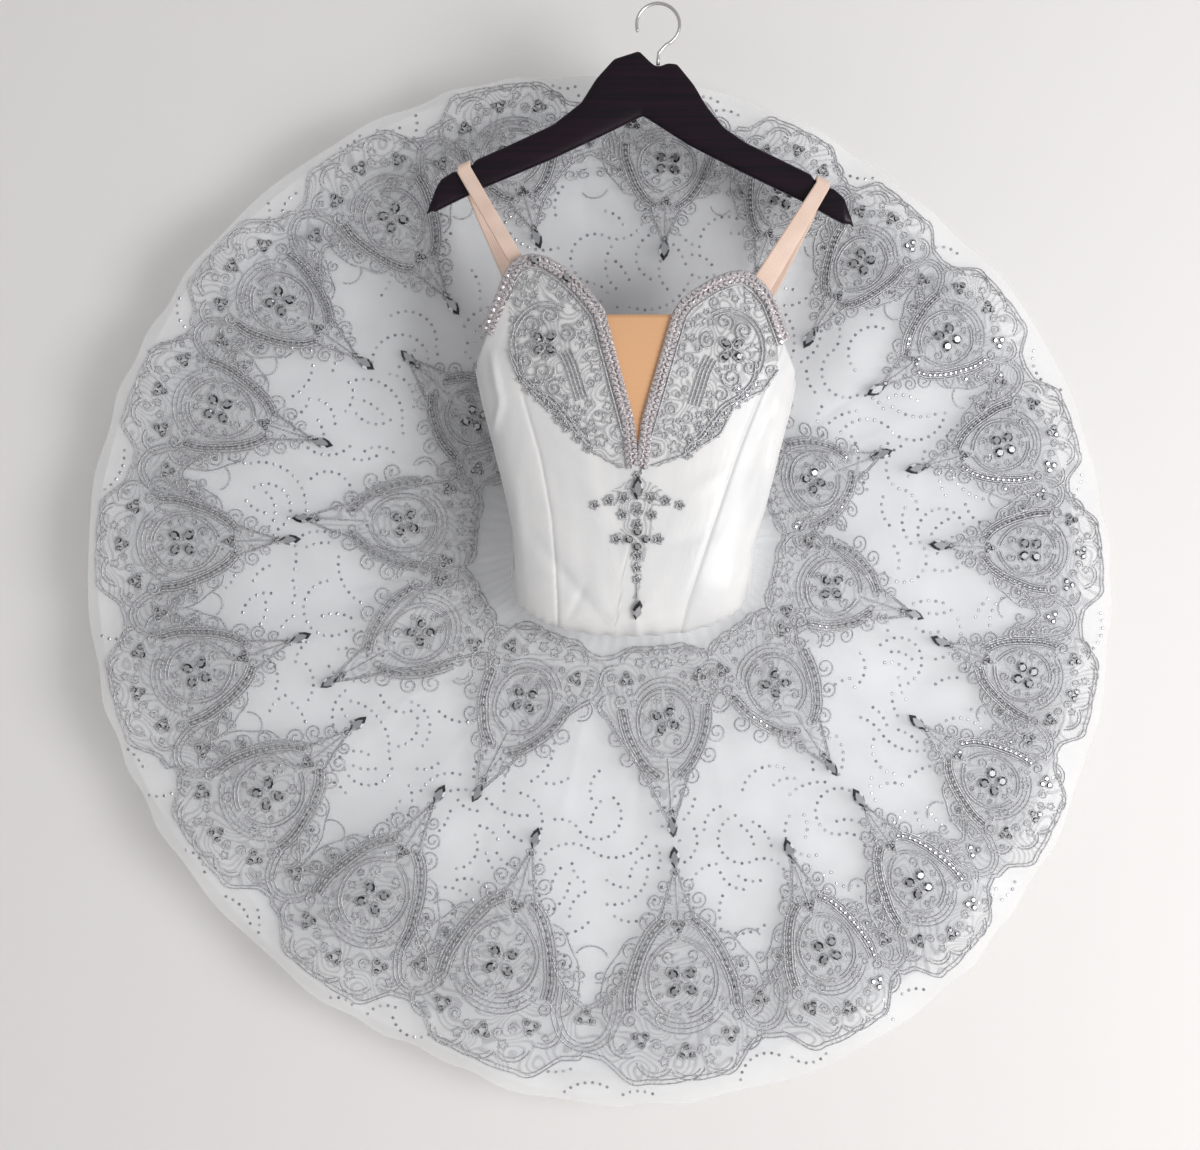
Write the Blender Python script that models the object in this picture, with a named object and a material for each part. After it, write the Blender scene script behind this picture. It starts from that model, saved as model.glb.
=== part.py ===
# Pancake tutu hung flat against a wall, on a dark wooden hanger.
# Metres, +Z up, the front faces -Y. Left is -X, as seen from the front.
# Origin: the inner top of the hanger's hook, where a rail bears.
import math

import bmesh
import bpy
from mathutils import Vector
from mathutils.bvhtree import BVHTree

# Cloth
SATIN_THICK = 0.0020
NET_THICK = 0.0012
LACE_THICK = 0.0013
STRAP_THICK = 0.0015
SEAM_GAP = 0.0003
LACE_GAP = 0.0009
LACE_REACH = 0.04
SEAM_ANGLE = 0.0016
FOOT_GAP = 0.0008
SECTION_POWER = 2.3

# Bodice and basque, bent from the standing bust down and back into the skirt's hole.
# A row for each section: front y, front z, back y, back z, middle x, half width.
BODICE_SECTIONS = (
    (0.058, -0.5963, 0.058, -0.4410, -0.0233, 0.1196),
    (0.030, -0.6065, 0.0505, -0.4700, -0.0245, 0.1180),
    (0.002, -0.6087, 0.0490, -0.5034, -0.0257, 0.1150),
    (-0.026, -0.6023, 0.046, -0.5154, -0.0259, 0.1130),
    (-0.043, -0.5801, 0.040, -0.5037, -0.0241, 0.1137),
    (-0.049, -0.5451, 0.037, -0.4812, -0.0223, 0.1164),
    (-0.051, -0.4979, 0.037, -0.4518, -0.0204, 0.1260),
    (-0.053, -0.4414, 0.037, -0.4175, -0.0204, 0.1375),
    (-0.058, -0.3852, 0.038, -0.3763, -0.0204, 0.1498),
    (-0.060, -0.3384, 0.040, -0.3290, -0.0214, 0.1575),
    (-0.055, -0.2908, 0.042, -0.2797, -0.0213, 0.1616),
    (-0.048, -0.2428, 0.044, -0.2304, -0.0213, 0.1638),
)
BASQUE_LEVEL = 2.0
BASQUE_SEAM = 0.012
TOP_LEVEL = 11.0

# Front princess seams, a row for each: level, left seam and right seam as shares of the half width.
PRINCESS_SEAMS = (
    (2.0, -0.61, 0.41),
    (4.0, -0.64, 0.45),
    (5.0, -0.66, 0.52),
    (6.0, -0.65, 0.59),
    (7.0, -0.67, 0.68),
    (8.0, -0.72, 0.77),
    (9.0, -0.72, 0.87),
    (11.0, -0.71, 0.90),
)

# Neckline from the left underarm over the cups to the right one: x, z.
NECKLINE = (
    (-0.1760, -0.3520),
    (-0.1626, -0.3186),
    (-0.1503, -0.2903),
    (-0.1400, -0.2640),
    (-0.1340, -0.2560),
    (-0.1220, -0.2516),
    (-0.1079, -0.2544),
    (-0.0918, -0.2648),
    (-0.0748, -0.2808),
    (-0.0640, -0.2935),
    (-0.0567, -0.3044),
    (-0.0480, -0.3378),
    (-0.0390, -0.3712),
    (-0.0300, -0.4046),
    (-0.0210, -0.4380),
    (-0.0112, -0.4046),
    (-0.0015, -0.3712),
    (0.0082, -0.3378),
    (0.0180, -0.3044),
    (0.0255, -0.2935),
    (0.0356, -0.2860),
    (0.0526, -0.2752),
    (0.0680, -0.2690),
    (0.0809, -0.2676),
    (0.0930, -0.2760),
    (0.1045, -0.2903),
    (0.1186, -0.3280),
    (0.1350, -0.3630),
)
BACK_NECK_Z = -0.372
V_POINT = (-0.0210, -0.4380)
INSERT_TOP_Z = -0.3044
INSERT_EDGE_GAP = 0.0008
SIDE_SEAM = math.radians(80.0)
PANEL_ROWS = 9

TRIM_HALF_WIDTH = 0.0062
TRIM_THICK = 0.0026
TRIM_BEAD_PITCH = 0.0105

# Lower edge of each cup's lace: x, z.
LEFT_CUP_EDGE = (
    (-0.1420, -0.3380),
    (-0.1343, -0.3610),
    (-0.1079, -0.3920),
    (-0.0795, -0.4110),
    (-0.0650, -0.4330),
    (-0.0400, -0.4470),
)
RIGHT_CUP_EDGE = (
    (-0.0020, -0.4450),
    (0.0290, -0.4360),
    (0.0573, -0.4180),
    (0.0715, -0.3894),
    (0.0998, -0.3752),
    (0.1120, -0.3560),
)
CUP_MARGIN = 0.0020
FRONT_OF_ALL = -1.0
LEFT_CUP_FLOWER = (-0.1060, -0.3320)
RIGHT_CUP_FLOWER = (0.0640, -0.3420)
FLOWER_RADIUS = 0.016
FLOWER_LIFT = 0.0025

# Lace drop below the V: height, half width.
CENTRE_DROP = (
    (-0.4570, 0.0040),
    (-0.4660, 0.0260),
    (-0.4760, 0.0440),
    (-0.4900, 0.0230),
    (-0.5030, 0.0190),
    (-0.5139, 0.0280),
    (-0.5270, 0.0120),
    (-0.5450, 0.0070),
    (-0.5600, 0.0045),
    (-0.5710, 0.0060),
    (-0.5830, 0.0012),
)
DROP_X = -0.0205

# Plate of net: the hip hole and the rim, both seen from the front.
HIP_CENTRE = Vector((-0.0233, 0.0, -0.51865))
HIP_HALF_WIDTH = 0.1196
HIP_HALF_HEIGHT = 0.07765
HIP_Y = 0.0617
HIP_END_Y = 0.0580
RIM_Y = 0.0850
RIM_CENTRE = Vector((-0.0560, 0.0, -0.5648))

# Rim radius round the plate, in degrees from the bottom towards the right: angle, radius.
RIM_RADII = (
    (0.0, 0.516),
    (11.0, 0.519),
    (28.0, 0.527),
    (43.0, 0.528),
    (60.0, 0.520),
    (78.0, 0.512),
    (104.0, 0.509),
    (121.0, 0.511),
    (140.0, 0.501),
    (162.0, 0.511),
    (180.0, 0.512),
    (196.0, 0.520),
    (228.0, 0.520),
    (257.0, 0.518),
    (282.0, 0.507),
    (307.0, 0.497),
    (323.0, 0.495),
    (341.0, 0.493),
    (353.0, 0.511),
    (360.0, 0.516),
)

# Folds of the plate: angle in degrees, inner and outer share, half width in degrees, lift to the front.
PLATE_FOLDS = (
    (284.0, 0.05, 0.50, 4.0, 0.007),
    (98.0, 0.04, 0.35, 4.0, -0.005),
    (69.0, 0.20, 0.85, 4.5, -0.005),
    (134.0, 0.30, 0.85, 5.5, 0.009),
    (312.0, 0.40, 1.10, 5.0, -0.004),
    (200.0, 0.50, 1.10, 6.0, -0.004),
)
RIM_WAVE = 0.0042
BROAD_WAVE = 0.0030
BROAD_WAVES = 7

# Outer motifs round the rim: angle in degrees, share of the tip, share of the base.
OUTER_MOTIFS = (
    (10.0, 0.50, 0.955),
    (30.0, 0.55, 0.960),
    (45.0, 0.55, 0.970),
    (62.0, 0.56, 0.980),
    (77.0, 0.55, 0.975),
    (94.0, 0.53, 0.975),
    (109.0, 0.51, 0.970),
    (126.0, 0.52, 0.970),
    (142.0, 0.50, 0.970),
    (156.0, 0.56, 0.980),
    (172.0, 0.57, 0.965),
    (192.0, 0.60, 0.985),
    (210.0, 0.51, 0.970),
    (229.0, 0.53, 0.980),
    (246.0, 0.51, 0.970),
    (265.0, 0.53, 0.975),
    (283.0, 0.53, 0.975),
    (303.0, 0.50, 0.955),
    (324.5, 0.49, 0.965),
    (345.0, 0.49, 0.965),
)
OUTER_COLUMNS = 8
OUTER_VALLEY = 0.80

# Inner motifs round the hip, one for each second outer one: share of the base, share of the tip.
INNER_MOTIFS = (
    (0.05, 0.43),
    (0.06, 0.45),
    (0.06, 0.46),
    (0.06, 0.43),
    (0.06, 0.43),
    (0.06, 0.43),
    (0.08, 0.46),
    (0.08, 0.50),
    (0.09, 0.50),
    (0.05, 0.44),
)
INNER_VALLEY = 0.17

# Across a motif from its middle to the link: share, way from tip to valley, drop of the base.
MOTIF_PROFILE = (
    (0.00, 0.00, 0.000),
    (0.25, 0.40, 0.004),
    (0.50, 0.66, -0.004),
    (0.75, 0.88, 0.045),
    (1.00, 1.00, 0.062),
)

# Raised work of a motif: lift for each column from the middle to the link, one row per ring.
MOTIF_LIFTS = (
    (0.0014, 0.0004, 0.0, 0.0, 0.0),
    (0.0016, 0.0022, 0.0010, 0.0, 0.0),
    (0.0034, 0.0012, 0.0018, 0.0004, 0.0),
    (0.0004, 0.0004, 0.0008, 0.0, 0.0004),
)
LACE_RING_SHARES = (0.0, 0.36, 0.70, 1.0)
GAP_RING = 1
GAP_COLUMNS = (0, 2, 5, 7)

OVERLAY_SHARES = (0.0, 0.20, 0.48, 0.78, 1.0)

# Plain nets below the overlay: name, rim share, step behind the one before at hip and rim, phase.
NET_LAYERS = (
    ("net_one", 0.985, 0.0090, 0.0090, 0.3),
    ("net_two", 0.945, 0.0180, 0.0178, 1.9),
    ("net_three", 0.890, 0.0270, 0.0264, 3.4),
    ("net_four", 0.820, 0.0360, 0.0350, 5.2),
)
NET_COLUMNS = 72
NET_SHARES = (0.0, 0.5, 1.0)
NET_WAVES = 12
NET_WAVE = 0.0024

# Knickers through the plate's hole
KNICKERS_THICK = 0.0015
KNICKERS_START_Y = 0.0584
KNICKERS_BAND_END_Y = 0.1080
CROTCH_Y = 0.1440
CROTCH_ANGLE = math.radians(38.0)
CROTCH_TAPER = 0.45

# Hanger: x, z of the upper edge, then of the lower edge.
HANGER_TOP = (
    (-0.2228, -0.2010),
    (-0.2195, -0.1880),
    (-0.2100, -0.1690),
    (-0.1960, -0.1600),
    (-0.1940, -0.1620),
    (-0.1790, -0.1550),
    (-0.1765, -0.1500),
    (-0.1428, -0.1350),
    (-0.1013, -0.1157),
    (-0.0743, -0.0945),
    (-0.0598, -0.0714),
    (-0.0424, -0.0521),
    (-0.0183, -0.0444),
    (-0.0070, -0.0555),
    (-0.0028, -0.0588),
    (0.0028, -0.0588),
    (0.0090, -0.0562),
    (0.0183, -0.0569),
    (0.0347, -0.0772),
    (0.0463, -0.0974),
    (0.0637, -0.1186),
    (0.0849, -0.1331),
    (0.1480, -0.1640),
    (0.1500, -0.1690),
    (0.1660, -0.1770),
    (0.1680, -0.1765),
    (0.1794, -0.1862),
    (0.1862, -0.2016),
    (0.1881, -0.2130),
)
HANGER_BOTTOM = (
    (-0.2228, -0.2035),
    (-0.2035, -0.1939),
    (-0.1678, -0.1765),
    (-0.1013, -0.1485),
    (-0.0559, -0.1273),
    (-0.0145, -0.1071),
    (0.0289, -0.1350),
    (0.0839, -0.1630),
    (0.1379, -0.1890),
    (0.1707, -0.2074),
    (0.1881, -0.2161),
)
HANGER_HALF_DEPTH = 0.0060
HANGER_EDGE = 0.0028

HOOK_ROD = 0.0017
HOOK_INNER_RADIUS = 0.0190
HOOK_FOOT_Z = -0.0582
HOOK_SIDES = 8
HOOK_START_ANGLE = math.radians(-68.0)
HOOK_END_ANGLE = math.radians(200.0)
HOOK_STEPS = 18

# Straps: side, front foot x and z, back foot x and z, top x and z, slope of the arm, half widths.
STRAPS = (
    ("strap_left", -0.1300, -0.2620, -0.0920, -0.3800, -0.1865, -0.1570, 0.47, 0.0070, 0.0072),
    ("strap_right", 0.0960, -0.2780, 0.0560, -0.3800, 0.1580, -0.1716, -0.50, 0.0070, 0.0105),
)


def clear_scene():
    for item in list(bpy.data.objects):
        bpy.data.objects.remove(item, do_unlink=True)


def material(name, colour, roughness, metallic=0.0):
    shade = bpy.data.materials.new(name)
    shade.use_nodes = True
    shader = shade.node_tree.nodes["Principled BSDF"]
    shader.inputs["Base Color"].default_value = (*colour, 1.0)
    shader.inputs["Roughness"].default_value = roughness
    shader.inputs["Metallic"].default_value = metallic
    return shade


def read_table(table, value, column=1):
    """Straight-line reading of a table whose first column rises."""
    if value <= table[0][0]:
        return table[0][column]
    for low, high in zip(table, table[1:]):
        if value <= high[0]:
            way = (value - low[0]) / (high[0] - low[0])
            return low[column] + (high[column] - low[column]) * way
    return table[-1][column]


def smooth_row(table, level):
    """All columns of an evenly spaced table, read with a smooth curve."""
    last = len(table) - 1
    low = max(0, min(int(math.floor(level)), last - 1))
    way = level - low
    before = table[max(low - 1, 0)]
    start = table[low]
    end = table[low + 1]
    after = table[min(low + 2, last)]
    values = []
    for a, b, c, d in zip(before, start, end, after):
        slope_in = (c - a) / 2
        slope_out = (d - b) / 2
        values.append(
            (2 * way ** 3 - 3 * way ** 2 + 1) * b
            + (way ** 3 - 2 * way ** 2 + way) * slope_in
            + (-2 * way ** 3 + 3 * way ** 2) * c
            + (way ** 3 - way ** 2) * slope_out
        )
    return values


def signed_power(value, power):
    return math.copysign(abs(value) ** power, value)


def shorter_halves(corners):
    """Two triangles of a four-sided face, split along its shorter diagonal."""
    if (corners[0] - corners[2]).length > (corners[1] - corners[3]).length:
        return (0, 1, 3), (1, 2, 3)
    return (0, 1, 2), (0, 2, 3)


def wall(name, outer, inner, shade, around=False, kept=None):
    """Closed solid between two equal grids of points, without the cells that are left out."""
    rows = len(outer)
    columns = len(outer[0])
    cell_columns = columns if around else columns - 1
    points = []
    numbers = {}

    def number(side, row, column):
        key = (side, row, column % columns)
        if key not in numbers:
            numbers[key] = len(points)
            points.append((outer, inner)[side][row][column % columns])
        return numbers[key]

    def is_kept(row, column):
        if around:
            column %= cell_columns
        inside = 0 <= row < rows - 1 and 0 <= column < cell_columns
        return inside and (kept is None or kept(row, column))

    faces = []
    for row in range(rows - 1):
        for column in range(cell_columns):
            if not is_kept(row, column):
                continue
            ring = ((row, column), (row, column + 1), (row + 1, column + 1), (row + 1, column))
            front = [number(0, *corner) for corner in ring]
            back = [number(1, *corner) for corner in ring]
            for half in shorter_halves([points[index] for index in front]):
                faces.append([front[corner] for corner in half])
                faces.append([back[corner] for corner in reversed(half)])
            beside = ((row - 1, column), (row, column + 1), (row + 1, column), (row, column - 1))
            for index, cell in enumerate(beside):
                if is_kept(*cell):
                    continue
                following = (index + 1) % 4
                edge = [front[following], front[index], back[index], back[following]]
                for half in shorter_halves([points[corner] for corner in edge]):
                    faces.append([edge[corner] for corner in half])
    return solid(name, points, faces, shade)


def solid(name, points, faces, shade):
    mesh = bpy.data.meshes.new(name)
    mesh.from_pydata([tuple(point) for point in points], [], faces)
    mesh.materials.append(shade)
    shell = bmesh.new()
    shell.from_mesh(mesh)
    bmesh.ops.recalc_face_normals(shell, faces=shell.faces)
    shell.to_mesh(mesh)
    shell.free()
    result = bpy.data.objects.new(name, mesh)
    bpy.context.scene.collection.objects.link(result)
    return result


def surface_normal(surface, across, along):
    step = 1e-4
    run = surface(across + step, along) - surface(across - step, along)
    rise = surface(across, along + step) - surface(across, along - step)
    return run.cross(rise).normalized()


def bodice_point(angle, level):
    """Outer face of the bent bodice: angle from the centre front towards the right."""
    front_y, front_z, back_y, back_z, middle_x, half_width = smooth_row(BODICE_SECTIONS, level)
    power = 2 / SECTION_POWER
    side = signed_power(math.sin(angle), power)
    forward = signed_power(math.cos(angle), power)
    return Vector((
        middle_x + half_width * side,
        (front_y + back_y) / 2 + (front_y - back_y) / 2 * forward,
        (front_z + back_z) / 2 + (front_z - back_z) / 2 * forward,
    ))


def share_to_angle(share):
    return math.asin(signed_power(share, SECTION_POWER / 2))


def left_princess(level):
    return share_to_angle(read_table(PRINCESS_SEAMS, level, 1))


def right_princess(level):
    return share_to_angle(read_table(PRINCESS_SEAMS, level, 2))


def level_at_height(angle_at, height, low, high):
    """Level at which a line of the bodice reaches the height."""
    for _ in range(40):
        middle = (low + high) / 2
        if bodice_point(angle_at(middle), middle).z < height(middle):
            low = middle
        else:
            high = middle
    return (low + high) / 2


def neck_height(angle, level):
    """Height of the top edge: the neckline in front, a plain fall to the middle of the back."""
    beyond = abs(angle) - SIDE_SEAM
    if beyond <= 0.01:
        return read_table(NECKLINE, bodice_point(angle, level).x)
    underarm = NECKLINE[0][1] if angle < 0 else NECKLINE[-1][1]
    return underarm + (BACK_NECK_Z - underarm) * beyond / (math.pi - SIDE_SEAM)


def neck_level(angle_at):
    return level_at_height(angle_at, lambda level: neck_height(angle_at(level), level), 5.2, TOP_LEVEL)


def panel_angle(edges, share, level):
    left = edges[0](level) + SEAM_ANGLE
    right = edges[1](level) - SEAM_ANGLE
    return left + (right - left) * share


def bodice_panel(name, edges, columns, shade):
    """Panel between two seams, a column for each: share at the bottom, share and level at the top."""
    outer = [[] for _ in range(PANEL_ROWS + 1)]
    inner = [[] for _ in range(PANEL_ROWS + 1)]
    for bottom, top, top_level in columns:
        for row in range(PANEL_ROWS + 1):
            way = row / PANEL_ROWS
            level = BASQUE_LEVEL + (top_level - BASQUE_LEVEL) * way
            angle = panel_angle(edges, bottom + (top - bottom) * way, level)
            point = bodice_point(angle, level)
            outer[row].append(point)
            inner[row].append(point - surface_normal(bodice_point, angle, level) * SATIN_THICK)
    return wall(name, outer, inner, shade)


def front_place(x, z):
    """Angle and level of the bodice's front at a place seen from the front."""
    def angle_at(level):
        row = smooth_row(BODICE_SECTIONS, level)
        share = max(-0.995, min(0.995, (x - row[4]) / row[5]))
        return share_to_angle(share)
    level = level_at_height(angle_at, lambda _: z, BASQUE_LEVEL, TOP_LEVEL)
    return angle_at(level), level


def on_bodice(x, z, rise, facets=None):
    """Place seen from the front, moved out from the bodice and from the flat faces of its panels."""
    angle, level = front_place(x, z)
    place = bodice_point(angle, level)
    if facets is not None:
        hit = facets.ray_cast(Vector((x, FRONT_OF_ALL, z)), Vector((0.0, 1.0, 0.0)))[0]
        if hit is not None and hit.y < 0.0:
            place.y = min(place.y, hit.y)
    return place + surface_normal(bodice_point, angle, level) * rise


def side_left(level):
    return -SIDE_SEAM


def side_right(level):
    return SIDE_SEAM


def back_middle_left(level):
    return -math.pi


def back_middle_right(level):
    return math.pi


def even_columns(edges, count):
    """Columns at even shares, each up to the neckline."""
    columns = []
    for step in range(count + 1):
        share = step / count
        level = neck_level(lambda level, share=share: panel_angle(edges, share, level))
        columns.append((share, share, level))
    return columns


def centre_front_columns(edges):
    """Columns that start evenly and end at the neckline's own corners."""
    columns = [even_columns(edges, 1)[0]]
    places = [(x, z) for x, z in NECKLINE if -0.128 < x < 0.100]
    for step, (x, z) in enumerate(places):
        angle, level = front_place(x, z)
        left = panel_angle(edges, 0.0, level)
        right = panel_angle(edges, 1.0, level)
        columns.append(((step + 1) / (len(places) + 1), (angle - left) / (right - left), level))
    return columns + [even_columns(edges, 1)[1]]


def bodice_panels():
    """Name, seams and columns of each panel, from the left side seam round."""
    front_left = (side_left, left_princess)
    centre = (left_princess, right_princess)
    front_right = (right_princess, side_right)
    back_right = (side_right, back_middle_right)
    back_left = (back_middle_left, side_left)
    return (
        ("bodice_side_front_left", front_left, even_columns(front_left, 4)),
        ("bodice_centre_front", centre, centre_front_columns(centre)),
        ("bodice_side_front_right", front_right, even_columns(front_right, 4)),
        ("bodice_back_right", back_right, even_columns(back_right, 8)),
        ("bodice_back_left", back_left, even_columns(back_left, 8)),
    )


def make_bodice(satin, nude_net):
    panels = [bodice_panel(*panel, satin) for panel in bodice_panels()]
    insert = make_insert(nude_net)
    return joined_faces(panels[:3] + [insert])


def joined_faces(objects):
    """Search tree over the flat faces of several solids."""
    points = []
    faces = []
    for item in objects:
        start = len(points)
        points += [vertex.co.copy() for vertex in item.data.vertices]
        faces += [[start + index for index in face.vertices] for face in item.data.polygons]
    return BVHTree.FromPolygons(points, faces)


def make_insert(nude_net):
    """Nude net that fills the V up to its own straight top, its rows at the V's own corners."""
    rows = sorted({z for x, z in NECKLINE if -0.060 <= x <= 0.0185 and z > V_POINT[1]})
    rows = [V_POINT[1] + 0.010] + rows
    left_by_height = sorted((z, x) for x, z in NECKLINE if -0.060 <= x <= V_POINT[0])
    right_by_height = sorted((z, x) for x, z in NECKLINE if V_POINT[0] <= x <= 0.0185)
    columns = 4
    outer = []
    inner = []
    for z in rows:
        left = read_table(left_by_height, z) + INSERT_EDGE_GAP
        right = read_table(right_by_height, z) - INSERT_EDGE_GAP
        across = [left + (right - left) * step / columns for step in range(columns + 1)]
        outer.append([on_bodice(x, z, 0.0) for x in across])
        inner.append([on_bodice(x, z, -NET_THICK) for x in across])
    return wall("plunge_insert", outer, inner, nude_net)


def resample(path, pitch):
    """Points along a path at an even pitch, and always at its own corners' nearest step."""
    lengths = [0.0]
    for start, end in zip(path, path[1:]):
        lengths.append(lengths[-1] + math.hypot(end[0] - start[0], end[1] - start[1]))
    count = max(2, round(lengths[-1] / pitch))
    xs = [(length, point[0]) for length, point in zip(lengths, path)]
    zs = [(length, point[1]) for length, point in zip(lengths, path)]
    places = [lengths[-1] * step / count for step in range(count + 1)]
    return [(read_table(xs, place), read_table(zs, place)) for place in places]


def neck_trim(name, path, facets, shade):
    """Beaded band along the neckline, ribbed by its beads."""
    places = resample(path, TRIM_BEAD_PITCH)
    outer = [[], [], []]
    inner = [[], [], []]
    for index, (x, z) in enumerate(places):
        before = places[max(index - 1, 0)]
        after = places[min(index + 1, len(places) - 1)]
        run = Vector((after[0] - before[0], after[1] - before[1])).normalized()
        across = Vector((-run.y, run.x))
        bead = 0.0006 * (index % 2)
        for row, side in enumerate((-1.0, 0.0, 1.0)):
            place_x = x + across.x * side * TRIM_HALF_WIDTH
            place_z = z + across.y * side * TRIM_HALF_WIDTH
            crown = TRIM_THICK + bead - 0.0007 * abs(side)
            inner[row].append(on_bodice(place_x, place_z, LACE_GAP, facets))
            outer[row].append(on_bodice(place_x, place_z, LACE_GAP + crown, facets))
    return wall(name, outer, inner, shade)


def neck_distance(x, z):
    """How far a place seen from the front is from the neckline."""
    nearest = 1.0
    for start, end in zip(NECKLINE, NECKLINE[1:]):
        run = Vector((end[0] - start[0], end[1] - start[1]))
        reach = Vector((x - start[0], z - start[1]))
        way = max(0.0, min(1.0, reach.dot(run) / run.length_squared))
        nearest = min(nearest, (reach - run * way).length)
    return nearest


def below_trim(x):
    """Highest place of the lace in a column, clear of the neck trim."""
    z = read_table(NECKLINE, x)
    while neck_distance(x, z) < TRIM_HALF_WIDTH + CUP_MARGIN:
        z -= 0.0005
    return z


def cup_applique(name, edge, flower, facets, shade):
    """Corded lace from the neck trim down to its own lower edge, raised at its flower."""
    columns = 9
    rows = 6
    start = edge[0][0]
    end = edge[-1][0]
    outer = [[] for _ in range(rows + 1)]
    inner = [[] for _ in range(rows + 1)]
    for column in range(columns + 1):
        x = start + (end - start) * column / columns
        top = below_trim(x)
        bottom = read_table(edge, x)
        for row in range(rows + 1):
            z = bottom + (top - bottom) * row / rows
            near = math.hypot(x - flower[0], z - flower[1]) / FLOWER_RADIUS
            lift = FLOWER_LIFT * max(0.0, 1.0 - near * near / 2)
            inner[row].append(on_bodice(x, z, LACE_GAP, facets))
            outer[row].append(on_bodice(x, z, LACE_GAP + LACE_THICK + lift, facets))
    return wall(name, outer, inner, shade)


def centre_drop(facets, shade):
    outer = []
    inner = []
    for z, half in CENTRE_DROP:
        lifts = (0.0, 0.0006, 0.0012, 0.0006, 0.0)
        sides = (-1.0, -0.5, 0.0, 0.5, 1.0)
        inner.append([on_bodice(DROP_X + half * side, z, LACE_GAP, facets) for side in sides])
        outer.append([
            on_bodice(DROP_X + half * side, z, LACE_GAP + LACE_THICK + lift, facets)
            for side, lift in zip(sides, lifts)
        ])
    return wall("centre_drop", outer, inner, shade)


def make_trims(facets, lace, beads):
    split = [index for index, (x, z) in enumerate(NECKLINE) if (x, z) == V_POINT][0]
    left = [place for place in NECKLINE[:split] if place[0] > -0.175]
    right = [place for place in NECKLINE[split + 1:] if place[0] < 0.130]
    left.append((V_POINT[0] - 0.0068, V_POINT[1] - 0.004))
    right.insert(0, (V_POINT[0] + 0.0068, V_POINT[1] - 0.004))
    neck_trim("neck_trim_left", left, facets, beads)
    neck_trim("neck_trim_right", right, facets, beads)
    cup_applique("cup_applique_left", LEFT_CUP_EDGE, LEFT_CUP_FLOWER, facets, lace)
    cup_applique("cup_applique_right", RIGHT_CUP_EDGE, RIGHT_CUP_FLOWER, facets, lace)
    centre_drop(facets, lace)


def basque_angles(panels, turn=0.0):
    """Angles of the basque's columns, the same as those of the panels above it."""
    angles = []
    for _, edges, columns in panels:
        for bottom, _, _ in columns:
            angle = panel_angle(edges, bottom, BASQUE_LEVEL)
            if angle < 0:
                angle += turn
            if angles and angle - angles[-1] < 3 * SEAM_ANGLE:
                angles[-1] = (angles[-1] + angle) / 2
            else:
                angles.append(angle)
    return angles


def make_basque(satin):
    panels = bodice_panels()
    halves = (
        ("basque_front", basque_angles(panels[:3])),
        ("basque_back", basque_angles(panels[3:], 2 * math.pi)),
    )
    rows = 4
    top = BASQUE_LEVEL - BASQUE_SEAM
    for name, angles in halves:
        outer = [[hip_point(angle, 0.0, HIP_END_Y) for angle in angles]]
        inner = [[hip_point(angle, -SATIN_THICK, HIP_END_Y) for angle in angles]]
        for row in range(1, rows + 1):
            level = top * row / rows
            points = [bodice_point(angle, level) for angle in angles]
            normals = [surface_normal(bodice_point, angle, level) for angle in angles]
            outer.append(points)
            inner.append([point - normal * SATIN_THICK for point, normal in zip(points, normals)])
        wall(name, outer, inner, satin)


def hip_point(angle, spread, y):
    """Ring of the hip, angle from its bottom towards the right."""
    power = 2 / SECTION_POWER
    return Vector((
        HIP_CENTRE.x + (HIP_HALF_WIDTH + spread) * signed_power(math.sin(angle), power),
        y,
        HIP_CENTRE.z - (HIP_HALF_HEIGHT + spread) * signed_power(math.cos(angle), power),
    ))


def knickers_point(angle, way, spread, side):
    """Band for ways up to 1, then the strip to the crotch for ways from 1 to 2."""
    if way <= 1.0:
        y = KNICKERS_START_Y + (KNICKERS_BAND_END_Y - KNICKERS_START_Y) * way
        return hip_point(angle, spread, y)
    turn = (way - 1.0) * math.pi / 2
    edge = hip_point(angle, spread, KNICKERS_BAND_END_Y)
    reach = CROTCH_Y - KNICKERS_BAND_END_Y + spread
    narrow = 1.0 - CROTCH_TAPER * (way - 1.0)
    middle_z = HIP_CENTRE.z - side * SEAM_GAP / 2
    return Vector((
        HIP_CENTRE.x + (edge.x - HIP_CENTRE.x) * narrow,
        KNICKERS_BAND_END_Y + reach * math.sin(turn),
        middle_z + (edge.z - middle_z) * math.cos(turn),
    ))


def make_knickers(cotton):
    edge = CROTCH_ANGLE
    steps = (-90, -74, -58, -38, -19, 0, 19, 38, 58, 74, 90)
    ways = (0.0, 1.0, 1.25, 1.5, 1.75, 2.0)
    for name, middle, side in (("knickers_front", 0.0, 1.0), ("knickers_back", 180.0, -1.0)):
        outer = []
        inner = []
        for way in ways:
            angles = []
            for step in steps:
                close = SEAM_ANGLE * (1 if step == -90 else -1 if step == 90 else 0)
                angles.append(math.radians(middle + step) + close)
            outer.append([knickers_point(angle, way, 0.0, side) for angle in angles])
            inner.append([knickers_point(angle, way, -KNICKERS_THICK, side) for angle in angles])

        def kept(row, column):
            centre = math.radians((steps[column] + steps[column + 1]) / 2)
            return row == 0 or abs(centre) < edge
        wall(name, outer, inner, cotton, kept=kept)


def plate_fold(angle, share):
    """Depth of the folds and the broad waves that all the layers have together."""
    turn = math.radians(angle)
    depth = BROAD_WAVE * share ** 1.5 * math.sin(BROAD_WAVES * turn + 0.8)
    for middle, start, end, spread, lift in PLATE_FOLDS:
        away = (angle - middle + 180.0) % 360.0 - 180.0
        if start < share < end:
            along = math.sin(math.pi * (share - start) / (end - start))
            depth -= lift * along * math.exp(-(away / spread) ** 2)
    return depth


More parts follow.
